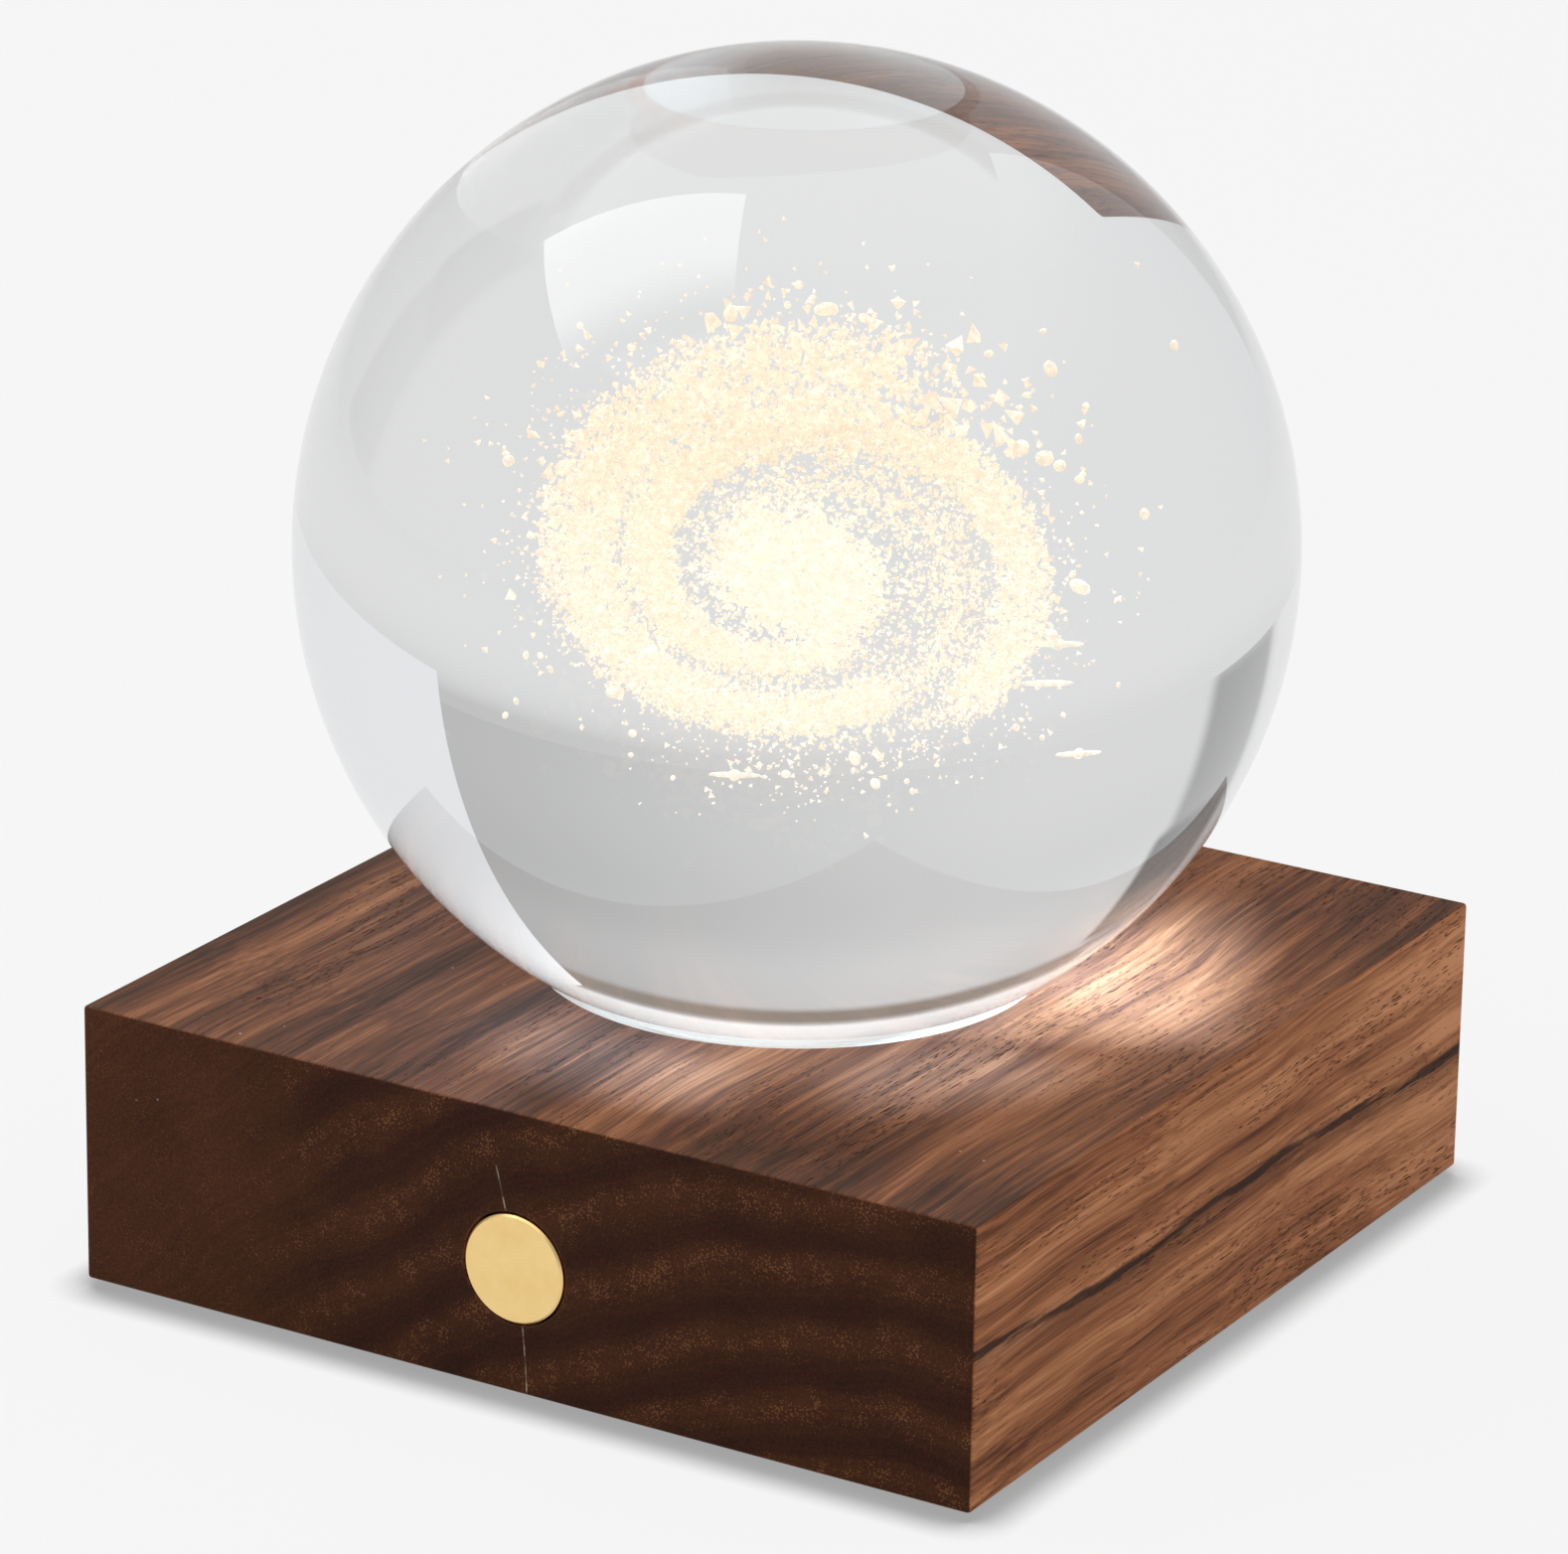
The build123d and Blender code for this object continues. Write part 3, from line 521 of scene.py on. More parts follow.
@dataclass(frozen=True)
class WalnutFinish(Finish):
    """Oiled walnut whose grain runs front to back, with rings about an axis below the block.

    Lengths are in millimetres and scales per millimetre. A grain layer gives its scales across and
    along the grain and its detail, and a pore layer both scales and its least and greatest width.
    The grain layers are broad bands, streaks, fine streaks and fibres. The tone weights are for
    the rings and those layers, the end weights for rings, lines, speckle, patches and the left
    part, and the deck's painted shades darken its right front, its right rear and all of it.
    """

    ring_centre: tuple[float, float] = (45.0, -75.0)
    ring_spacing: float = 5.4
    ring_waver: tuple[float, float] = (9.0, 2.6)
    grain_layers: tuple[tuple[float, float, float], ...] = (
        (0.11, 0.006, 3.0),
        (0.55, 0.016, 3.0),
        (2.1, 0.040, 3.0),
        (6.0, 0.12, 2.0),
    )
    pore_layers: tuple[tuple[float, float, float, float], ...] = (
        (3.3, 0.22, 0.03, 0.20),
        (2.3, 0.12, 0.00, 0.15),
        (4.4, 0.60, 0.06, 0.24),
    )
    tone_weights: tuple[float, ...] = (0.12, 0.55, 0.75, 0.80, 0.62)
    tone_range: tuple[float, float] = (0.99, 1.81)
    # painted shade on the deck: its right front, its right rear and all of it
    painted_deck_shades: tuple[float, float, float] = (-0.26, -0.14, -0.11)
    end_weights: tuple[float, ...] = (0.22, 0.46, 0.75, 0.30, 0.26)
    end_range: tuple[float, float] = (0.52, 1.22)
    side_colours: tuple[Colour, ...] = (
        (0.028, 0.009, 0.004),
        (0.125, 0.041, 0.017),
        (0.300, 0.114, 0.046),
        (0.500, 0.222, 0.105),
    )
    end_colours: tuple[Colour, ...] = (
        (0.016, 0.008, 0.005),
        (0.033, 0.012, 0.007),
        (0.056, 0.020, 0.009),
        (0.090, 0.033, 0.014),
    )
    pore_colour: Colour = (0.022, 0.008, 0.005)
    end_pore_colour: Colour = (0.210, 0.092, 0.036)
    # painted sheen laid over the deck's colour
    painted_deck_sheen: Colour = (0.300, 0.220, 0.170)
    hairline_colour: Colour = (0.42, 0.34, 0.25)
    # the colour of worn edges, which also serves as a painted edge highlight
    worn_and_highlight_colour: Colour = (0.30, 0.15, 0.09)
    dust_colour: Colour = (0.55, 0.50, 0.45)
    vein_height: float = 12.5
    vein_fall: float = -0.016
    vein_wave: tuple[float, float, float] = (0.55, 54.0, 50.0)
    vein_waver: float = 1.6
    hairline: tuple[float, float, float] = (1.25, -0.03, -0.0062)
    hairline_top: float = 19.5
    front_face: float = -40.0
    specular: float = 0.04

    def paint(self, graph: Graph, shader: bpy.types.Node) -> None:
        """Lays rings, streaks, fibres, pores, end grain, worn edges with a painted highlight, and
        dust.
        """
        place = graph.place()
        drift = self.wavy(graph, place)
        radius = self.ring_radius(graph, drift)
        grain = [self.along_grain(graph, drift, *layer) for layer in self.grain_layers]
        pores = self.pore_mask(graph, drift)
        side = self.side_colour(graph, drift, (self.ring_tone(graph, radius), *grain))
        side = graph.lay(pores * 0.8, side, opaque(self.pore_colour))
        side = graph.lay(self.vein_mask(graph, place), side, opaque(self.pore_colour))
        end = self.end_colour(graph, place, radius, grain[0])
        colour = graph.lay(self.end_mask(graph), side, end)
        colour = graph.lay(self.hairline_mask(graph, place), colour, opaque(self.hairline_colour))
        # worn edges, paled also as a painted edge highlight
        colour = self.wear(graph, colour, self.worn_and_highlight_colour, radius=0.30, amount=0.50)
        colour = self.dust(graph, colour, self.dust_colour, scale=0.35, size=0.04, amount=0.6)
        graph.feed(shader, "Base Color", colour)
        fibres = grain[-1]
        rough = fibres * 0.2 + 0.42
        rough = graph.math("MULTIPLY_ADD", pores, 0.25, rough, clamp=True)
        graph.feed(shader, "Roughness", rough)
        height = pores * -1.0 + fibres * 0.35
        graph.feed(shader, "Normal", graph.bump(height, 0.05 * MM))
        graph.feed(shader, "Specular IOR Level", self.specular)

    @staticmethod
    def wavy(graph: Graph, place: Signal) -> Signal:
        """Returns the place moved a little from side to side along the grain."""
        inputs = {"Vector": graph.vector("MULTIPLY", place, (0.02, 0.022, 0.02)), "Scale": 1.0}
        slow = graph.read("ShaderNodeTexNoise", inputs, "Color")
        shift = graph.vector("SUBTRACT", slow, (0.5, 0.5, 0.5))
        return graph.vector("MULTIPLY_ADD", shift, (5.0, 0.0, 5.0), place)

    @staticmethod
    def along_grain(
        graph: Graph,
        place: Signal,
        across: float,
        along: float,
        detail: float,
        roughness: float = 0.6,
    ) -> Signal:
        """Returns noise drawn out along the grain, with its scales per millimetre."""
        drawn_out = graph.vector("MULTIPLY", place, (across, along, across))
        return graph.noise(drawn_out, 1.0, detail, roughness)

    @staticmethod
    def cells_along_grain(graph: Graph, place: Signal, across: float, along: float) -> Signal:
        """Returns the distance to scattered points that are drawn out along the grain."""
        return graph.cells(graph.vector("MULTIPLY", place, (across, along, across)))

    @staticmethod
    def weigh(graph: Graph, parts: Iterable[tuple[Value, float]]) -> Signal:
        """Returns the sum of several tones, each times its weight."""
        total: Value = 0.0
        for tone, weight in parts:
            total = tone * weight + total
        return total

    def side_colour(self, graph: Graph, place: Signal, tones: Sequence[Signal]) -> Signal:
        """Returns the faces' colour along the grain, darker to the left, with a painted shade and
        sheen on the deck.

        Args:
            graph: The material's graph.
            place: The place in millimetres.
            tones: The rings, broad bands, streaks, fine streaks and fibres.

        Returns:
            The colour.
        """
        x, y, _ = graph.split(place)
        up = graph.split(graph.read("ShaderNodeTexCoord", output="Normal"))[2]
        up = graph.remap(up, 0.5, 0.9)
        front = graph.remap(y, -37.0, -22.0, 1.0, 0.0)
        front_right = graph.remap(x, 4.0, 26.0) * front
        rear = graph.remap(y, 12.0, 32.0)
        rear_right = graph.remap(x, 16.0, 34.0) * rear
        # painted shade: the deck is darkened at its right front, at its right rear, and all over
        deck = self.weigh(graph, zip((front_right, rear_right, 1.0), self.painted_deck_shades))
        side = graph.remap(y, 0.0, 38.0, 0.0, 0.13)
        tone = self.weigh(graph, zip(tones, self.tone_weights))
        tone = tone + graph.remap(x, -30.0, 42.0, -0.1, 0.06)
        tone = tone + graph.lay_value(up, side, deck)
        tone = graph.stretch(tone, *self.tone_range)
        colour = graph.colours(tone, tuple(zip(RAMP_PLACES, self.side_colours)))
        # painted sheen: the upward faces are paled towards a whitish sheen colour
        return graph.lay(up * 0.1, colour, opaque(self.painted_deck_sheen))

    def end_colour(self, graph: Graph, place: Signal, radius: Signal, broad: Signal) -> Signal:
        """Returns the dark colour of the end grain, with its fine speckle and pale pores.

        Args:
            graph: The material's graph.
            place: The place in millimetres.
            radius: The distance from the axis of the growth rings, in millimetres.
            broad: The broad bands along the grain.

        Returns:
            The colour.
        """
        x = graph.split(place)[0]
        left = graph.remap(broad * 10.0 + x, -22.0, -10.0, 1.0, 0.0)
        rings = self.ring_tone(graph, radius)
        rings = rings * (1.0 - left)
        lines = graph.join(radius * 1.3, 0.0, 0.0)
        lines = graph.noise(lines, 1.0, 4.0, 0.7)
        speckle = graph.noise(place, 3.6, 3.0, 0.75)
        patches = self.along_grain(graph, place, 0.11, 0.05, 3.0, 0.5)
        tones = (rings, lines, speckle, patches, left)
        tone = graph.stretch(self.weigh(graph, zip(tones, self.end_weights)), *self.end_range)
        end = graph.colours(tone, tuple(zip(RAMP_PLACES, self.end_colours)))
        crowd = left * 0.3 + rings * 0.75
        pores = self.end_pores(graph, place, crowd + 0.2)
        return graph.lay(pores * 0.5, end, opaque(self.end_pore_colour))

    @staticmethod
    def end_mask(graph: Graph) -> Signal:
        """Returns 1 on the faces that cut across the grain."""
        normal = graph.read("ShaderNodeTexCoord", output="Normal")
        return graph.remap(graph.math("ABSOLUTE", graph.split(normal)[1]), 0.45, 0.85)

    def ring_radius(self, graph: Graph, place: Signal) -> Signal:
        """Returns the wavering distance from the axis of the growth rings, in millimetres."""
        x, _, z = graph.split(place)
        across = x - self.ring_centre[0]
        up = z - self.ring_centre[1]
        radius = graph.measure("LENGTH", graph.join(across, 0.0, up))
        slow = self.along_grain(graph, place, 0.03, 0.012, 2.0, 0.5)
        quick = self.along_grain(graph, place, 0.16, 0.02, 3.0, 0.5)
        for swing, reach in zip((slow, quick), self.ring_waver):
            swing = swing - 0.5
            radius = swing * reach + radius
        return radius

    def ring_tone(self, graph: Graph, radius: Signal) -> Signal:
        """Returns the tone of the rings: each lightens slowly outward and then darkens fast."""
        share = graph.math("FRACT", radius / self.ring_spacing)
        rise = graph.remap(share, 0.0, 0.55)
        fall = graph.remap(share, 0.60, 0.98, 1.0, 0.0)
        return rise * fall

    def pore_mask(self, graph: Graph, place: Signal) -> Signal:
        """Returns 1 in the long open pores of the faces along the grain."""
        y = graph.split(place)[1]
        crowd = self.along_grain(graph, place, 0.22, 0.03, 3.0, 0.5)
        crowd = crowd + graph.remap(y, -35.0, 30.0, -0.05, 0.05)
        mask: Value = 0.0
        for across, along, least, most in self.pore_layers:
            gap = self.cells_along_grain(graph, place, across, along)
            width = graph.remap(crowd, 0.38, 0.66, least, most)
            layer = graph.remap(gap - width, -0.05, 0.03, 1.0, 0.0)
            mask = graph.math("MAXIMUM", mask, layer)
        return mask

    def end_pores(self, graph: Graph, place: Signal, crowd: Signal) -> Signal:
        """Returns 1 in the filled pores of the end grain, which show as fine pale dots."""
        gap = self.cells_along_grain(graph, place, 4.3, 0.3)
        patch = self.along_grain(graph, place, 0.5, 0.05, 3.0, 0.5)
        width = crowd * graph.remap(patch, 0.35, 0.65, 0.16, 0.46)
        return graph.remap(gap - width, -0.06, 0.06, 1.0, 0.0)

    def vein_mask(self, graph: Graph, place: Signal) -> Signal:
        """Returns how dark the vein is that wavers along the right side, in several strands."""
        x, y, z = graph.split(place)
        size, shift, length = self.vein_wave
        turn = (y + shift) * (FULL_TURN / length)
        wave = graph.math("SINE", turn) * size + self.vein_height
        wave = y * self.vein_fall + wave
        bend = graph.noise(graph.vector("MULTIPLY", place, (0.0, 0.07, 0.0)), 1.0, 5.0, 0.6)
        line = (bend - 0.5) * self.vein_waver + wave
        off = z - line
        strand = self.along_grain(graph, place, 2.6, 0.09, 4.0)
        close = graph.remap(graph.math("ABSOLUTE", off), 0.05, 1.5, 1.0, 0.0)
        close = graph.math("POWER", close, 2.0)
        core = graph.remap(close * 0.4 + strand, 0.66, 0.9, 0.0, 0.92)
        halo = graph.remap(off, -3.2, -0.1, 0.0, 0.38)
        halo = halo * graph.remap(off, 0.0, 0.9, 1.0, 0.0)
        right = graph.remap(x, 37.0, 39.5)
        return graph.math("MAXIMUM", core, halo) * right

    def hairline_mask(self, graph: Graph, place: Signal) -> Signal:
        """Returns 1 on the fine pale line that crosses the front face at the button."""
        x, y, z = graph.split(place)
        start, lean, bend = self.hairline
        line = (z * bend + lean) * z + start
        off = graph.math("ABSOLUTE", x - line)
        mask = graph.remap(off, 0.03, 0.09, 1.0, 0.0)
        broken = graph.remap(graph.noise(place, 1.3, 3.0), 0.38, 0.62, 0.1, 0.75)
        front = graph.math("LESS_THAN", y, self.front_face)
        low = graph.math("LESS_THAN", z, self.hairline_top)
        for part in (front, broken, low):
            mask = mask * part
        return mask


@dataclass(frozen=True)
class CrystalFinish(Finish):
    """Clear polished optical glass, with a trace of haze from handling."""

    colours: tuple[Colour, Colour] = ((1.0, 1.0, 1.0), (0.985, 0.995, 1.0))
    index: float = 1.517
    haze: float = 0.004

    def paint(self, graph: Graph, shader: bpy.types.Node) -> None:
        """Lays clear glass with the haze in its roughness."""
        colour, _ = self.mottle(graph, shader, self.colours, (self.haze, self.haze), (0.05, 0.5))
        graph.feed(shader, "Base Color", colour)
        graph.feed(shader, "IOR", self.index)
        graph.feed(shader, "Transmission Weight", 1.0)


@dataclass(frozen=True)
class EngravingFinish(Finish):
    """Laser marks with a painted glow for the light from below: palest in the bulge, warmest high
    up.
    """

    centre: tuple[float, float, float]
    reach: float
    # painted glow: emission stands in for the lamp's light that the marks scatter
    glow: float = 0.93
    colour: Colour = (0.18, 0.165, 0.13)
    centre_colour: Colour = (1.0, 0.925, 0.745)
    middle_colour: Colour = (1.0, 0.850, 0.655)
    rim_colour: Colour = (1.0, 0.865, 0.685)
    painted_fade_tint: Colour = (0.97, 0.92, 0.87)

    def paint(self, graph: Graph, shader: bpy.types.Node) -> None:
        """Lays the painted glow by distance from the bulge and its painted fading by height."""
        place = graph.vector("SUBTRACT", graph.place(), self.centre)
        share = graph.math("DIVIDE", graph.measure("LENGTH", place), self.reach, clamp=True)
        stops = (
            (0.0, self.centre_colour),
            (0.24, self.centre_colour),
            (0.45, self.middle_colour),
            (1.0, self.rim_colour),
        )
        tint = graph.colours(share, stops)
        # painted fading of the light from below: marks high up are tinted dimmer and warmer
        high = graph.remap(graph.split(place)[2], -1.0, 7.0)
        tint = graph.lay(high, tint, opaque(self.painted_fade_tint), Blend.MULTIPLY)
        fine = graph.remap(graph.noise(place, 2.2, 2.0), 0.3, 0.7, 0.84, 1.06)
        glow = graph.lay(1.0, tint, graph.grey(fine), Blend.MULTIPLY)
        graph.feed(shader, "Base Color", opaque(self.colour))
        graph.feed(shader, "Roughness", 0.6)
        graph.feed(shader, "Emission Color", glow)
        graph.feed(shader, "Emission Strength", self.glow)


@dataclass(frozen=True)
class BrassFinish(Finish):
    """Turned brass, lightly polished: fine rings about the button's axis, and a few specks."""

    axis: tuple[float, float]
    colours: tuple[Colour, Colour] = ((0.93, 0.675, 0.300), (0.88, 0.620, 0.255))
    edge_colour: Colour = (0.93, 0.76, 0.44)

    def paint(self, graph: Graph, shader: bpy.types.Node) -> None:
        """Lays the turned rings, mottle, worn rim and specks."""
        x, _, z = graph.split(graph.place())
        x, z = (at - middle for at, middle in zip((x, z), self.axis))
        radius = graph.measure("LENGTH", graph.join(x, 0.0, z))
        rings = graph.noise(graph.join(radius, 0.0, 0.0), 9.0, 3.0, 0.7)
        colour, _ = self.mottle(graph, shader, self.colours, (0.33, 0.10), (0.45, 5.0))
        colour = self.wear(graph, colour, self.edge_colour, radius=0.25, amount=0.8)
        colour = self.dust(graph, colour, (0.9,) * 3, scale=1.1, size=0.07, amount=0.5)
        graph.feed(shader, "Base Color", colour)
        graph.feed(shader, "Metallic", 1.0)
        graph.feed(shader, "Normal", graph.bump(rings, 0.004 * MM))


@dataclass(frozen=True)
class BrushedFinish(Finish):
    """Plated steel, brushed along one direction."""

    colours: tuple[Colour, Colour] = ((0.60, 0.60, 0.61), (0.52, 0.52, 0.54))
    roughness: float = 0.34
    stretch: tuple[float, float, float] = (9.0, 0.8, 9.0)

    def paint(self, graph: Graph, shader: bpy.types.Node) -> None:
        """Lays the brush lines over mottled plating."""
        lines = graph.noise(graph.vector("MULTIPLY", graph.place(), self.stretch), 1.0, 2.0, 0.7)
        colour, _ = self.mottle(graph, shader, self.colours, (self.roughness, 0.15), (0.6, 7.0))
        colour = self.wear(graph, colour, (0.82,) * 3, radius=0.2, amount=0.6)
        graph.feed(shader, "Base Color", colour)
        graph.feed(shader, "Metallic", 1.0)
        graph.feed(shader, "Normal", graph.bump(lines, 0.006 * MM))


@dataclass(frozen=True)
class LitFinish(Finish):
    """A surface with light behind or in it, brightest about the lamp's axis."""

    colour: Colour
    glow_colour: Colour
    glow: float
    reach: float
    roughness: float = 0.5

    def paint(self, graph: Graph, shader: bpy.types.Node) -> None:
        """Lays a glow that fades from the axis, over a faintly grained surface."""
        x, y, _ = graph.split(graph.place())
        far = graph.measure("LENGTH", graph.join(x, y, 0.0))
        share = graph.remap(far, 0.0, self.reach, 1.0, 0.45)
        tint = graph.lay(1.0, opaque(self.glow_colour), graph.grey(share), Blend.MULTIPLY)
        colours = (self.colour, self.colour)
        colour, height = self.mottle(graph, shader, colours, (self.roughness, 0.1), (0.5, 8.0))
        graph.feed(shader, "Base Color", colour)
        graph.feed(shader, "Normal", graph.bump(height, 0.01 * MM))
        graph.feed(shader, "Emission Color", tint)
        graph.feed(shader, "Emission Strength", self.glow)


@dataclass(frozen=True)
class SiliconeFinish(Finish):
    """Clear soft silicone, slightly milky."""

    colours: tuple[Colour, Colour] = ((0.84, 0.76, 0.64), (0.76, 0.68, 0.56))
    index: float = 1.41
    clearness: float = 0.45

    def paint(self, graph: Graph, shader: bpy.types.Node) -> None:
        """Lays a satin, partly see-through surface."""
        colour, _ = self.mottle(graph, shader, self.colours, (0.42, 0.1), (0.3, 4.0))
        graph.feed(shader, "Base Color", colour)
        graph.feed(shader, "IOR", self.index)
        graph.feed(shader, "Transmission Weight", self.clearness)


def to_object(name: str, mesh: bpy.types.Mesh) -> bpy.types.Object:
    """Puts a mesh in the scene as an object at the origin.

    Args:
        name: The object's name.
        mesh: Its mesh, already in place.

    Returns:
        The new object.
    """
    mesh.name = name
    made = bpy.data.objects.new(name, mesh)
    bpy.context.scene.collection.objects.link(made)
    return made


def plain_object(bm: bmesh.types.BMesh, name: str) -> bpy.types.Object:
    """Turns a bmesh into an object and frees it.

    Args:
        bm: The shape, already in place.
        name: The object's name.

    Returns:
        The new object.
    """
    mesh = bpy.data.meshes.new(name)
    bm.to_mesh(mesh)
    bm.free()
    return to_object(name, mesh)


def smooth_object(bm: bmesh.types.BMesh, name: str) -> bpy.types.Object:
    """Turns a closed bmesh into a smooth object whose faces point outwards.

    Args:
        bm: The shape, already in place.
        name: The object's name.

    Returns:
        The new object.
    """
    bmesh.ops.recalc_face_normals(bm, faces=bm.faces)
    for face in bm.faces:
        face.smooth = True
    return plain_object(bm, name)


def grow(name: str, tree: bpy.types.NodeTree, values: dict[str, object]) -> bpy.types.Object:
    """Runs a geometry tree and keeps its result as a plain mesh.

    Args:
        name: The new object's name.
        tree: The geometry tree.
        values: Its inputs, by name.

    Returns:
        The object, with no modifier on it.
    """
    holder = to_object(name + "_holder", bpy.data.meshes.new(name + "_holder"))
    modifier = holder.modifiers.new("grow", "NODES")
    modifier.node_group = tree
    for item in tree.interface.items_tree:
        if item.item_type == "SOCKET" and item.in_out == "INPUT" and item.name in values:
            modifier[item.identifier] = values[item.name]
    bpy.context.view_layer.update()
    evaluated = holder.evaluated_get(bpy.context.evaluated_depsgraph_get())
    mesh = bpy.data.meshes.new_from_object(evaluated)
    bpy.data.objects.remove(holder)
    return to_object(name, mesh)


def finish_piece(
    piece: bpy.types.Object, body: Body, finish: Finish, replaces: Sequence[str] = ()
) -> None:
    """Gives a new piece its material, body and slot, hides the nodes that it stands for, and logs
    it.

    Args:
        piece: The new piece.
        body: The body that it rides on.
        finish: Its finish.
        replaces: The nodes that it replaces.
    """
    piece.data.materials.clear()
    piece.data.materials.append(finish.material())
    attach(piece, body.value)
    if replaces:
        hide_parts(*replaces)
    log.info("%s: %d faces, on %s", piece.name, len(piece.data.polygons), body.value)


def ball_middle() -> Vector:
    """Returns the middle of the ball."""
    low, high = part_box("crystal_ball")
    return Vector((0.0, 0.0, (low.z + high.z) / 2))


@dataclass
class CrystalBall:
    """The glass ball, as a sphere fine enough to refract cleanly."""

    segments: int = 288
    rings: int = 144
    finish: CrystalFinish = CrystalFinish("polished_crystal")

    def build(self) -> None:
        """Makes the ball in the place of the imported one."""
        low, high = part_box("crystal_ball")
        bm = bmesh.new()
        bmesh.ops.create_uvsphere(
            bm, u_segments=self.segments, v_segments=self.rings, radius=(high.z - low.z) / 2
        )
        bmesh.ops.translate(bm, verts=bm.verts, vec=ball_middle())
        ball = smooth_object(bm, "crystal_ball_glass")
        finish_piece(ball, Body.BALL, self.finish, ("crystal_ball",))


@dataclass(frozen=True)
class MarkCloud:
    """One share of the engraving: how its marks lie about the arms of a spiral.

    Attributes:
        name: The cloud's name.
        marks: How many marks it has.
        inner: Where the arms begin, in millimetres from the bulge.
        outer: Where they end.
        start: The turn at which the first arm begins, from 0 to 1.
        turns: How far each arm winds, in turns.
        spread: How far marks stray from an arm where it begins, in millimetres.
        outer_spread: How far they stray where it ends.
        size: The size of a mark, in millimetres.
        seed: The seed of the random draws.
        arms: How many arms there are.
        flatness: The spread across the galaxy's plane, as a share of the spread in it.
        crowding: Below 1 crowds the marks at the arms' outer ends, above 1 at their inner ends.
        softness: At 1 the marks thin out from the arm like a bell, at 0 they have a sharp limit.
        round_marks: Whether the marks are round dots and not slivers.
    """

    name: str
    marks: int
    inner: float
    outer: float
    start: float
    turns: float
    spread: float
    outer_spread: float
    size: float
    seed: int
    arms: int = 1
    flatness: float = 0.3
    crowding: float = 1.0
    softness: float = 1.0
    round_marks: bool = False

    def inputs(self) -> dict[str, float | int | bool]:
        """Returns what the cloud sets on the geometry tree, with its lengths in metres."""
        lengths = ("inner", "outer", "spread", "outer_spread", "size")
        return {
            key.replace("_", " ").title(): value * MM if key in lengths else value
            for key, value in asdict(self).items()
            if key != "name"
        }


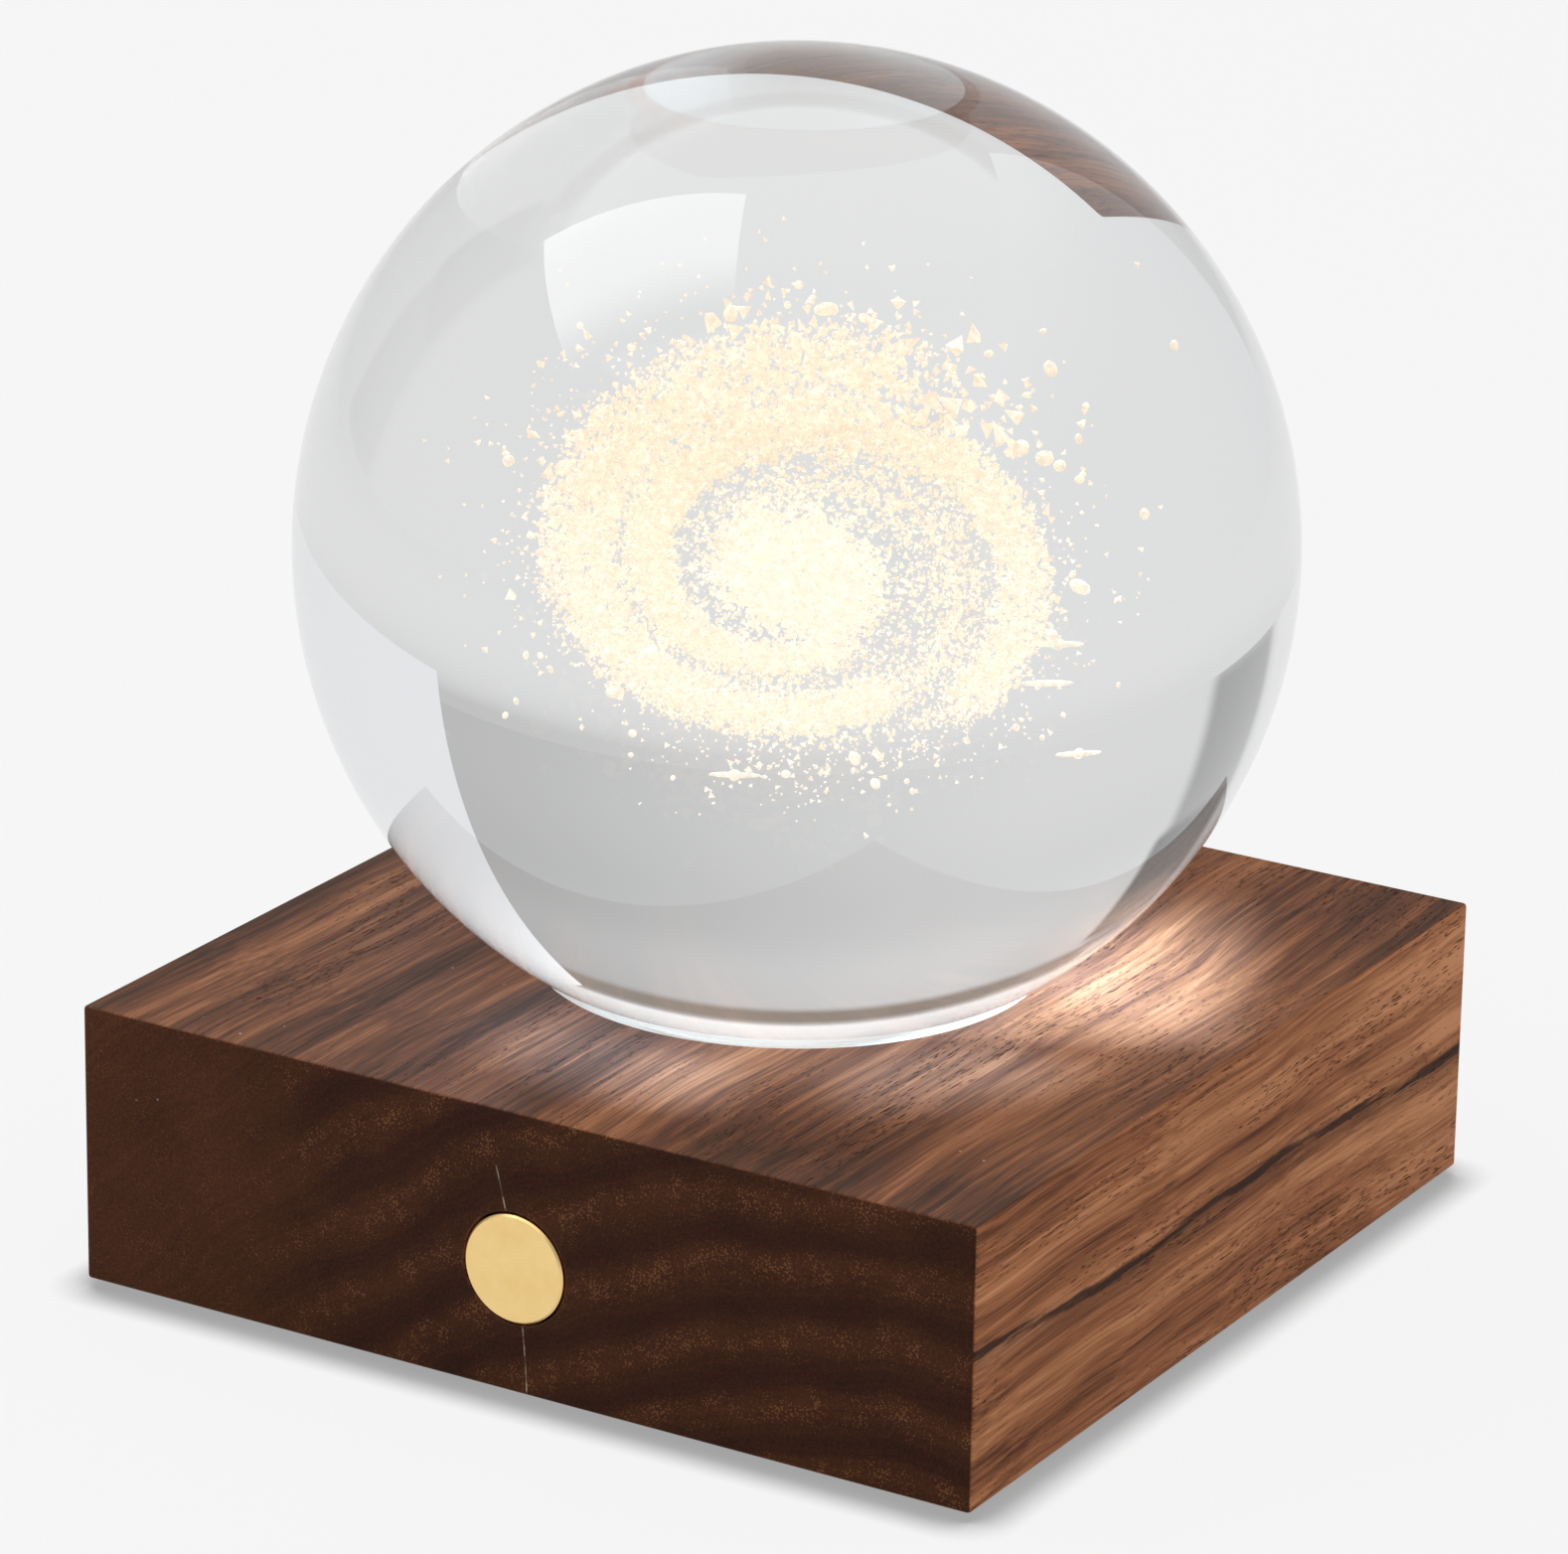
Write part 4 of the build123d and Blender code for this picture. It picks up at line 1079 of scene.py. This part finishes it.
@dataclass
class GalaxyEngraving:
    """The galaxy of laser marks: a bulge, two arms, a halo, and a few far galaxies edge on.

    It leans about an axis that is turned by its bearing, both in degrees. Lengths are in
    millimetres, and the far galaxies lie in its plane.
    """

    lean: float = 32.0
    bearing: float = 31.0
    radius: float = 16.5
    offset: tuple[float, float, float] = (0.9, -1.4, -1.1)
    clouds: tuple[MarkCloud, ...] = (
        MarkCloud(
            "bulge", marks=9000, inner=0.55, outer=3.7, start=0.3, turns=1.5, spread=1.25,
            outer_spread=1.5, size=0.185, seed=11, arms=2, flatness=0.8, crowding=0.85,
        ),
        MarkCloud(
            "outer_arm", marks=9200, inner=10.1, outer=13.8, start=-0.175, turns=0.64, spread=2.0,
            outer_spread=3.4, size=0.142, seed=23, crowding=1.15, softness=0.35,
        ),
        MarkCloud(
            "inner_arm", marks=9600, inner=5.7, outer=13.6, start=-0.15, turns=0.98, spread=1.5,
            outer_spread=2.2, size=0.138, seed=29, crowding=0.75, softness=0.35,
        ),
        MarkCloud(
            "disc", marks=6200, inner=3.6, outer=11.0, start=0.1, turns=0.8, spread=2.2,
            outer_spread=4.2, size=0.115, seed=37, arms=2, crowding=0.6,
        ),
        MarkCloud(
            "halo", marks=3400, inner=8.0, outer=15.5, start=0.2, turns=1.0, spread=2.8,
            outer_spread=5.0, size=0.13, seed=41, arms=2, crowding=0.9,
        ),
        MarkCloud(
            "flakes", marks=460, inner=9.5, outer=14.0, start=-0.45, turns=0.42, spread=3.2,
            outer_spread=4.5, size=0.28, seed=47,
        ),
        MarkCloud(
            "stars", marks=96, inner=11.0, outer=19.0, start=0.2, turns=1.7, spread=2.0,
            outer_spread=4.5, size=0.24, seed=53, arms=2, crowding=0.9, round_marks=True,
        ),
    )
    far_galaxies: tuple[tuple[float, float], ...] = (
        (14.6, -4.8),
        (14.4, -7.9),
        (17.4, -14.2),
        (-3.6, -15.9),
    )
    far_galaxy_without_knot: int = 1
    far_galaxy_size: tuple[float, float] = (1.65, 0.20)

    def build(self) -> None:
        """Makes the marks and joins them as one piece."""
        centre = ball_middle() + Vector(self.offset) * MM
        finish = EngravingFinish("painted_glow_engraving", tuple(centre / MM), self.radius)
        tree = self.tree()
        bm = bmesh.new()
        for cloud in self.clouds:
            marks = grow(cloud.name, tree, self.values(cloud, centre, finish))
            bm.from_mesh(marks.data)
            bpy.data.objects.remove(marks)
        self.add_far_galaxies(bm, centre)
        engraving = plain_object(bm, "galaxy_marks")
        finish_piece(engraving, Body.BALL, finish, ("galaxy_engraving",))

    def values(self, cloud: MarkCloud, centre: Vector, finish: Finish) -> dict[str, object]:
        """Returns the tree's inputs for one cloud."""
        return {
            **cloud.inputs(),
            "Centre": centre,
            "Tilt": Euler((math.radians(self.lean), 0.0, math.radians(self.bearing))),
            "Finish": finish.material(),
        }

    def tree(self) -> bpy.types.NodeTree:
        """Builds the geometry tree that scatters marks about the arms of a spiral."""
        settings = self.clouds[0].inputs().items()
        takes = {
            **{label: (SOCKET_KINDS[type(value)], value) for label, value in settings},
            "Centre": ("Vector", None),
            "Tilt": ("Rotation", None),
            "Finish": ("Material", None),
        }
        graph, want, result = start_group(
            "spiral_marks", "GeometryNodeTree", takes, {"Geometry": "Geometry"}
        )
        draws = [self.draw(graph, want["Seed"], number) for number in range(8)]
        points = graph.read("GeometryNodePoints", {"Count": want["Marks"]})
        spot = self.spot(graph, want, draws)
        placed = graph.read("GeometryNodeSetPosition", {"Geometry": points, "Position": spot})
        large = graph.math("POWER", draws[6], 5.0)
        size = large * 1.3 + 0.75
        size = want["Size"] * size
        stretch = size * graph.remap(draws[7], 0.0, 1.0, 0.7, 1.8)
        tumble = graph.join(draws[6], draws[7], draws[3])
        marks = {
            "Points": placed,
            "Instance": self.fleck(graph, want["Round Marks"]),
            "Rotation": graph.vector("MULTIPLY", tumble, (FULL_TURN,) * 3),
            "Scale": graph.join(stretch, size, size),
        }
        laid = graph.read("GeometryNodeInstanceOnPoints", marks)
        solid = graph.read("GeometryNodeRealizeInstances", {0: laid})
        move = {"Geometry": solid, "Translation": want["Centre"], "Rotation": want["Tilt"]}
        dress = {"Geometry": graph.read("GeometryNodeTransform", move), "Material": want["Finish"]}
        dressed = graph.read("GeometryNodeSetMaterial", dress)
        graph.feed(result, "Geometry", dressed)
        return graph.tree

    @classmethod
    def spot(cls, graph: Graph, want: dict[str, Signal], draws: Sequence[Signal]) -> Signal:
        """Returns where each mark lies before the galaxy is tilted.

        Args:
            graph: The tree's graph.
            want: The tree's inputs.
            draws: Random numbers from 0 to 1 for each mark.

        Returns:
            The place, with the galaxy's plane level.
        """
        index = graph.read("GeometryNodeInputIndex")
        along = graph.math("POWER", draws[0], want["Crowding"])
        ratio = want["Outer"] / want["Inner"]
        reach = want["Inner"] * graph.math("POWER", ratio, along)
        arm = graph.math("MODULO", index, want["Arms"]) / want["Arms"]
        wound = along * want["Turns"]
        turn = want["Start"] + arm - wound
        heading = turn * FULL_TURN
        widen = want["Outer Spread"] - want["Spread"]
        spread = widen * along + want["Spread"]
        even = graph.math("SQRT", draws[1])
        fade = cls.bell(graph, draws[1], draws[2]) - even
        stray = fade * want["Softness"] + even
        stray = spread * stray
        stray_heading = draws[3] * FULL_TURN
        x, y = (
            stray * graph.math(wave, stray_heading) + reach * graph.math(wave, heading)
            for wave in ("COSINE", "SINE")
        )
        lift = spread * want["Flatness"]
        return graph.join(x, y, lift * cls.bell(graph, draws[4], draws[5]))

    @staticmethod
    def fleck(graph: Graph, is_round: Signal) -> Signal:
        """Returns the shape of one mark, a round dot or a sliver."""
        sizes = {"Vertices": 3, "Radius Top": 0.0, "Radius Bottom": 1.0, "Depth": 1.5}
        sliver = graph.read("GeometryNodeMeshCone", sizes, "Mesh", fill_type="NGON")
        dot = graph.read("GeometryNodeMeshIcoSphere", {"Radius": 1.0, "Subdivisions": 2})
        choice = {"Switch": is_round, "False": sliver, "True": dot}
        return graph.read("GeometryNodeSwitch", choice, input_type="GEOMETRY")

    @staticmethod
    def draw(graph: Graph, seed: Signal, number: int) -> Signal:
        """Returns a random number from 0 to 1 for each mark, from the tree's seed."""
        own_seed = seed * 16.0 + float(number)
        made = graph.node("FunctionNodeRandomValue", {"Seed": own_seed}, data_type="FLOAT")
        return Signal(graph, graph.find(made.outputs, "Value"))

    @staticmethod
    def bell(graph: Graph, first: Signal, second: Signal) -> Signal:
        """Returns a bell-shaped draw about 0 from two even draws."""
        spread = graph.math("LOGARITHM", first, math.e) * -1.0
        swing = graph.math("COSINE", second * FULL_TURN)
        return graph.math("SQRT", spread) * swing

    def add_far_galaxies(self, bm: bmesh.types.BMesh, centre: Vector) -> None:
        """Adds small flat lens shapes that read as far galaxies seen edge on.

        Args:
            bm: The engraving so far.
            centre: The middle of the galaxy.
        """
        turn = Matrix.Rotation(math.radians(self.bearing), 4, "Z")
        tilt = turn @ Matrix.Rotation(math.radians(self.lean), 4, "X")
        half_length, half_height = (size * MM for size in self.far_galaxy_size)
        flat = Matrix.Diagonal((half_length, half_height, half_height, 1.0))
        knot = Matrix.Diagonal((2 * half_height, 1.8 * half_height, 1.8 * half_height, 1.0))
        for number, (x, y) in enumerate(self.far_galaxies):
            place = Matrix.Translation(centre + tilt @ (Vector((x, y, 0.0)) * MM))
            shapes = (flat,) if number == self.far_galaxy_without_knot else (flat, knot)
            for shape in shapes:
                bmesh.ops.create_icosphere(
                    bm, subdivisions=2, radius=1.0, matrix=place @ turn @ shape
                )


@dataclass
class PhotoCamera:
    """The camera, set from the block's corners and the ball's outline.

    Its location, lens and sensor are in millimetres, and its angles in degrees.
    """

    location: tuple[float, float, float] = (296.97, -498.44, 247.45)
    bearing: float = 30.857
    drop: float = 19.733
    roll: float = 0.924
    lens: float = 176.45
    sensor: float = 36.0

    def build(self) -> None:
        """Makes the camera and gives it to the scene."""
        bearing, drop, roll = (math.radians(a) for a in (self.bearing, self.drop, self.roll))
        facing = Vector((-math.sin(bearing), math.cos(bearing), 0.0))
        ahead = facing * math.cos(drop) + Vector((0.0, 0.0, -math.sin(drop)))
        level = Vector((math.cos(bearing), math.sin(bearing), 0.0))
        upright = level.cross(ahead)
        right = level * math.cos(roll) + upright * math.sin(roll)
        up = upright * math.cos(roll) - level * math.sin(roll)
        data = bpy.data.cameras.new("camera")
        data.sensor_fit = "HORIZONTAL"
        data.sensor_width = self.sensor
        data.lens = self.lens
        data.clip_start = 0.01
        data.clip_end = 50.0
        camera = bpy.data.objects.new("camera", data)
        bpy.context.scene.collection.objects.link(camera)
        turn = Matrix((right, up, -ahead)).transposed().to_4x4()
        camera.matrix_world = Matrix.Translation(Vector(self.location) * MM) @ turn
        bpy.context.scene.camera = camera


@dataclass(frozen=True)
class WallPatch:
    """A patch of the studio's wall that has a tone of its own, with a soft edge, in degrees."""

    bearings: tuple[float, float]
    rises: tuple[float, float]
    edge: float
    colour: Colour


@dataclass
class Studio:
    """The pale floor and the soft light round it: an overhead softbox, a fill card and a sky.

    Bearings are in degrees from +Y towards +X, and rises in degrees above the horizon. The floor's
    radius is in metres, and all other lengths are in millimetres. A glow is given for a panel's
    first edge and for the edge across from it. A boost says how many times brighter a light is
    where the ball gathers it on the wood. The wall's tone dips and lifts a little between rises.
    Its patches are the gap below the ceiling, a strip with its darker middle, and its left part.
    """

    backdrop: float = 0.921
    floor_radius: float = 4.0
    floor_depth: float = 0.02
    floor_tone: float = 0.715
    floor_tone_in_metal: float = 0.92
    floor_fade: tuple[float, float] = (200.0, 1500.0)
    matt_tone: float = 0.80
    matt_for_camera: float = 0.06
    matt_for_glass: float = 0.15
    # painted shadow round what stands on the floor: its reach, how fast it fades, its darkest tone
    painted_shadow_reach: float = 3.8
    painted_shadow_power: float = 1.6
    painted_shadow_tone: float = 0.385
    gathered_tint: Colour = (0.92, 1.36, 1.90)
    softbox_distance: float = 600.0
    softbox_corners: tuple[tuple[float, float], ...] = (
        (-91.9, 42.6),
        (-68.0, 75.0),
        (-140.0, 40.0),
    )
    softbox_glow: tuple[float, float] = (4.0, 1.0)
    softbox_fade_from: float = 0.55
    softbox_boost: float = 2.6
    card_bearing: float = 52.0
    card_distance: float = 400.0
    card_edge: float = 0.0
    card_width: float = 1100.0
    card_height: float = 620.0
    card_lift: float = 5.0
    card_glow: tuple[float, float] = (0.80, 1.45)
    card_fade_from: float = 0.3
    card_tint: Colour = (0.975, 0.990, 1.015)
    wall_tones: tuple[float, float] = (0.68, 0.45)
    wall_bearings: tuple[float, float] = (-55.0, 8.0)
    dip_rises: tuple[float, float, float] = (9.0, 19.0, 6.0)
    dip_depth: float = 0.03
    lift_rises: tuple[float, float] = (18.0, 28.0)
    lift_height: float = 0.05
    ceiling_tone: float = 1.35
    ceiling_from: tuple[float, float] = (43.5, 46.0)
    strip_bearings: tuple[tuple[float, float], ...] = ((-72.0, -38.0), (-22.0, 24.0))
    strip_rises: tuple[float, float] = (45.0, 60.0)
    strip_boosts: tuple[float, float] = (2.7, 3.7)
    wall_patches: tuple[WallPatch, ...] = (
        WallPatch((-80.0, 6.0), (38.0, 43.5), 1.5, (0.270, 0.225, 0.180)),
        WallPatch((-94.0, -76.0), (-1.0, 40.0), 1.8, (0.30, 0.30, 0.30)),
        WallPatch((-92.0, -74.0), (18.0, 36.0), 1.2, (0.13, 0.13, 0.13)),
        WallPatch((-150.0, -97.0), (-5.0, 42.0), 1.8, (0.78, 0.78, 0.78)),
    )

    def build(self) -> None:
        """Makes the floor, lights and sky, and sets how colours are shown."""
        self.build_floor()
        self.build_softbox()
        self.build_card()
        self.build_sky()
        bpy.context.scene.view_settings.view_transform = "Standard"
        bpy.context.scene.cycles.blur_glossy = 0.0

    def build_floor(self) -> None:
        """Makes the floor, which shows pale with a painted shadow close round the object."""
        bm = bmesh.new()
        bmesh.ops.create_circle(bm, cap_ends=True, segments=96, radius=self.floor_radius)
        bmesh.ops.translate(bm, verts=bm.verts, vec=(0.0, 0.0, -self.floor_depth * MM))
        floor = plain_object(bm, "floor")
        floor.data.materials.append(self.floor_material())

    def floor_material(self) -> bpy.types.Material:
        """Returns the floor's material.

        The camera sees an even pale tone, with a painted shadow that darkens it close to what
        stands on it. Glass and metal see the floor greyer, and greyer still far off. Other rays
        meet a plain matt floor.
        """
        made, graph = start_material("studio_floor")
        path = graph.signals(graph.node("ShaderNodeLightPath"))
        matt = graph.read("ShaderNodeBsdfDiffuse", {"Color": opaque((self.matt_tone,) * 3)})
        # painted shadow: ambient occlusion, not light, darkens the tone that the camera sees
        reach = {"Distance": self.painted_shadow_reach * MM}
        near = graph.read("ShaderNodeAmbientOcclusion", reach, "AO", samples=16)
        shown = graph.math("POWER", near, self.painted_shadow_power)
        shown = shown * self.backdrop
        shown = graph.math("MAXIMUM", shown, self.painted_shadow_tone)
        x, y, _ = graph.split(graph.place())
        wall = self.wall_tone(graph, x, y)
        mirrored = path["Is Glossy Ray"] - path["Is Transmission Ray"]
        tone = graph.remap(mirrored, 0.0, 1.0, self.floor_tone, self.floor_tone_in_metal)
        far = graph.measure("LENGTH", graph.join(x, y, 0.0))
        tone = graph.remap(far, *self.floor_fade, tone, wall)
        for_camera = graph.mix(self.matt_for_camera, graph.glow(graph.grey(shown)), matt)
        for_glass = graph.mix(self.matt_for_glass, graph.glow(graph.grey(tone)), matt)
        glassy = graph.math("MAXIMUM", path["Is Glossy Ray"], path["Is Transmission Ray"])
        lit = graph.mix(glassy, matt, for_glass)
        self.show_front(graph, graph.mix(path["Is Camera Ray"], lit, for_camera))
        return made

    @staticmethod
    def show_front(graph: Graph, shader: Signal) -> None:
        """Makes a shader the material's surface, clear where it is seen from behind."""
        back = graph.read("ShaderNodeNewGeometry", output="Backfacing")
        clear = graph.read("ShaderNodeBsdfTransparent")
        graph.node("ShaderNodeOutputMaterial", {"Surface": graph.mix(back, shader, clear)})

    @staticmethod
    def direction(bearing: float, rise: float) -> Vector:
        """Returns the unit direction of a bearing from +Y towards +X and a rise, in degrees."""
        turn, lift = math.radians(bearing), math.radians(rise)
        return Vector(
            (math.sin(turn) * math.cos(lift), math.cos(turn) * math.cos(lift), math.sin(lift))
        )

    def panel(
        self,
        name: str,
        corner: Vector,
        sides: tuple[Vector, Vector],
        glow: tuple[float, float],
        fade_from: float,
        tint: Colour = (1.0, 1.0, 1.0),
        boost: float = 1.0,
    ) -> None:
        """Makes a glowing panel that the camera doesn't see.

        Args:
            name: The panel's name.
            corner: One of its corners.
            sides: The side along the first edge, and the side away from that edge.
            glow: The glow at the first edge and at the edge across from it.
            fade_from: The share of the way across at which the glow begins to change.
            tint: The light's colour.
            boost: How many times brighter it is where glass gathers its light on other things.
        """
        across, away = sides
        bm = bmesh.new()
        spots = (corner, corner + across, corner + across + away, corner + away)
        face = bm.faces.new([bm.verts.new(spot) for spot in spots])
        face.normal_update()
        if face.normal.dot(ball_middle() - corner) < 0:
            face.normal_flip()
        made = plain_object(bm, name)
        material, graph = start_material(name)
        spot = graph.read("ShaderNodeTexCoord", output="Object")
        from_corner = graph.vector("SUBTRACT", spot, tuple(corner))
        length = graph.measure("DOT_PRODUCT", from_corner, tuple(away))
        share = length / away.length_squared
        level = graph.remap(share, fade_from, 1.0, *glow)
        colour = graph.lay(1.0, opaque(tint), self.gathered(graph, boost), Blend.MULTIPLY)
        self.show_front(graph, graph.glow(colour, level))
        made.data.materials.append(material)
        made.visible_camera = False

    def gathered(self, graph: Graph, boost: float, share: Value = 1.0) -> Signal:
        """Returns the boosted tint where light passes glass on its way to a matt face, else 1.

        Args:
            graph: The light's graph.
            boost: How many times brighter the light is there.
            share: How much of the boost applies, from 0 to 1.

        Returns:
            The colour that the light is multiplied by.
        """
        path = graph.signals(graph.node("ShaderNodeLightPath"))
        bounced = graph.math("GREATER_THAN", path["Diffuse Depth"], 0.5)
        both = bounced * path["Is Transmission Ray"]
        tint = tuple(boost * part for part in self.gathered_tint)
        return graph.lay(both * share, opaque((1.0,) * 3), opaque(tint))

    def build_softbox(self) -> None:
        """Makes the softbox above and to the left, which shows as a window in the ball."""
        first, second, third = (
            ball_middle() + self.direction(*corner) * self.softbox_distance * MM
            for corner in self.softbox_corners
        )
        self.panel(
            "softbox",
            first,
            (second - first, third - first),
            self.softbox_glow,
            self.softbox_fade_from,
            boost=self.softbox_boost,
        )

    def build_card(self) -> None:
        """Makes the white card that stands behind and to the right."""
        facing = self.direction(self.card_bearing, 0.0)
        along = Vector((facing.y, -facing.x, 0.0))
        foot = facing * self.card_distance * MM
        shift = math.tan(math.radians(self.card_edge - self.card_bearing))
        corner = foot + along * shift * self.card_distance * MM
        corner.z = self.card_lift * MM
        across = along * self.card_width * MM
        up = Vector((0.0, 0.0, self.card_height * MM))
        self.panel(
            "fill_card", corner, (across, up), self.card_glow, self.card_fade_from, self.card_tint
        )

    def wall_tone(self, graph: Graph, x: Signal, y: Signal) -> Signal:
        """Returns the tone of the studio's wall, which darkens from the left to straight behind."""
        return graph.remap(self.bearing(graph, x, y), *self.wall_bearings, *self.wall_tones)

    @staticmethod
    def bearing(graph: Graph, x: Signal, y: Signal) -> Signal:
        """Returns the bearing of a place or direction, in degrees."""
        return graph.math("DEGREES", graph.math("ARCTAN2", x, y))

    def build_sky(self) -> None:
        """Makes the world: an even tone for the camera, a studio's walls for everything else."""
        world = bpy.data.worlds.new("studio")
        world.use_nodes = True
        world.node_tree.nodes.clear()
        bpy.context.scene.world = world
        graph = Graph(world.node_tree)
        x, y, z = graph.split(graph.read("ShaderNodeTexCoord", output="Generated"))
        rise = graph.math("DEGREES", graph.math("ARCSINE", z))
        bearing = self.bearing(graph, x, y)
        dip = graph.band(rise, *self.dip_rises) * self.dip_depth
        wall = self.wall_tone(graph, x, y) - dip
        lift = graph.remap(rise, *self.lift_rises, 0.0, self.lift_height)
        wall = wall + lift
        ceiling = opaque((self.ceiling_tone,) * 3)
        for bearings, boost in zip(self.strip_bearings, self.strip_boosts):
            strip = graph.band(bearing, *bearings, 4.0)
            strip = strip * graph.band(rise, *self.strip_rises, 2.0)
            ceiling = graph.lay(1.0, ceiling, self.gathered(graph, boost, strip), Blend.MULTIPLY)
        tone = graph.lay(graph.remap(rise, *self.ceiling_from), graph.grey(wall), ceiling)
        for patch in self.wall_patches:
            across = graph.band(bearing, *patch.bearings, patch.edge)
            share = across * graph.band(rise, *patch.rises, patch.edge)
            tone = graph.lay(share, tone, opaque(patch.colour))
        to_camera = graph.read("ShaderNodeLightPath", output="Is Camera Ray")
        tone = graph.lay(to_camera, tone, opaque((self.backdrop,) * 3))
        background = graph.node("ShaderNodeBackground", {"Color": tone})
        graph.node("ShaderNodeOutputWorld", {"Surface": background.outputs[0]})


def slot_finishes(button_axis: tuple[float, float]) -> dict[str, Finish]:
    """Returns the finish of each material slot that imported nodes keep.

    Args:
        button_axis: The x and z of the button's axis, in millimetres.

    Returns:
        The finish of each slot.
    """
    return {
        "walnut": WalnutFinish("oiled_walnut"),
        "clear_silicone": SiliconeFinish("seat_silicone"),
        "frosted_window": LitFinish(
            "window_frost", (0.42, 0.41, 0.39), (1.0, 0.84, 0.60), glow=0.30, reach=14.4
        ),
        "white_plastic": MouldedFinish(
            "cup_plastic", (0.86, 0.86, 0.84), (0.80, 0.80, 0.78), 0.5, edge_colour=(0.95,) * 3
        ),
        "steel": BrushedFinish("zinc_plate"),
        "lamp_board": MouldedFinish(
            "white_mask",
            (0.82, 0.83, 0.82),
            (0.74, 0.75, 0.74),
            0.35,
            edge_colour=(0.75, 0.68, 0.5),
        ),
        "led": LitFinish(
            "phosphor", (1.0, 0.86, 0.45), (1.0, 0.78, 0.45), glow=4.0, reach=8.0
        ),
        "brass": BrassFinish("turned_brass", button_axis),
        "dark_plastic": MouldedFinish(
            "dark_moulding",
            (0.030, 0.030, 0.033),
            (0.048, 0.048, 0.050),
            0.55,
            relief=0.03,
            edge_colour=(0.12,) * 3,
        ),
        "black_plastic": MouldedFinish(
            "black_moulding",
            (0.018, 0.018, 0.020),
            (0.030, 0.030, 0.032),
            0.3,
            edge_colour=(0.1,) * 3,
        ),
        "green_board": MouldedFinish(
            "green_mask",
            (0.020, 0.16, 0.07),
            (0.014, 0.11, 0.05),
            0.32,
            patch_scale=0.9,
            edge_colour=(0.45, 0.42, 0.25),
        ),
        "foil": MouldedFinish(
            "pouch_foil",
            (0.70, 0.70, 0.72),
            (0.62, 0.62, 0.64),
            0.35,
            patch_scale=0.12,
            grain_scale=0.8,
            relief=0.12,
            metallic=1.0,
        ),
        "foam": MouldedFinish(
            "fine_foam", (0.05, 0.05, 0.055), (0.02,) * 3, 0.95, grain_scale=3.0, relief=0.15
        ),
        "cream_plastic": MouldedFinish("plug_cream", (0.80, 0.76, 0.62), (0.72, 0.67, 0.52), 0.45),
        "lead_red": MouldedFinish("red_jacket", (0.50, 0.02, 0.02), (0.36, 0.012, 0.012), 0.38),
        "lead_black": MouldedFinish("black_jacket", (0.015,) * 3, (0.03,) * 3, 0.38),
        "lead_white": MouldedFinish("white_jacket", (0.80, 0.80, 0.78), (0.70, 0.70, 0.67), 0.4),
        "foot_rubber": MouldedFinish(
            "foot_rubber_matt",
            (0.035, 0.035, 0.037),
            (0.060, 0.060, 0.062),
            0.85,
            relief=0.05,
            edge_colour=(0.12,) * 3,
        ),
    }


def dress_nodes(finishes: dict[str, Finish]) -> None:
    """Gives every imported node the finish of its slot, and logs it.

    Args:
        finishes: The finish of each slot.
    """
    for name, node in sorted(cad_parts.items()):
        finish = finishes.get(node.data.materials[0].name)
        if finish is not None:
            node.data.materials[0] = finish.material()
            log.info("%s: %s", name, finish.name)


def main() -> None:
    """Builds the lamp's pieces and the studio in order."""
    logging.basicConfig(level=logging.INFO, format="%(name)s: %(message)s")
    button_low, button_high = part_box("brass_button")
    middle = (button_low + button_high) / 2 / MM
    dress_nodes(slot_finishes((middle.x, middle.z)))
    CrystalBall().build()
    GalaxyEngraving().build()
    PhotoCamera().build()
    Studio().build()


if __name__ == "__main__":
    main()
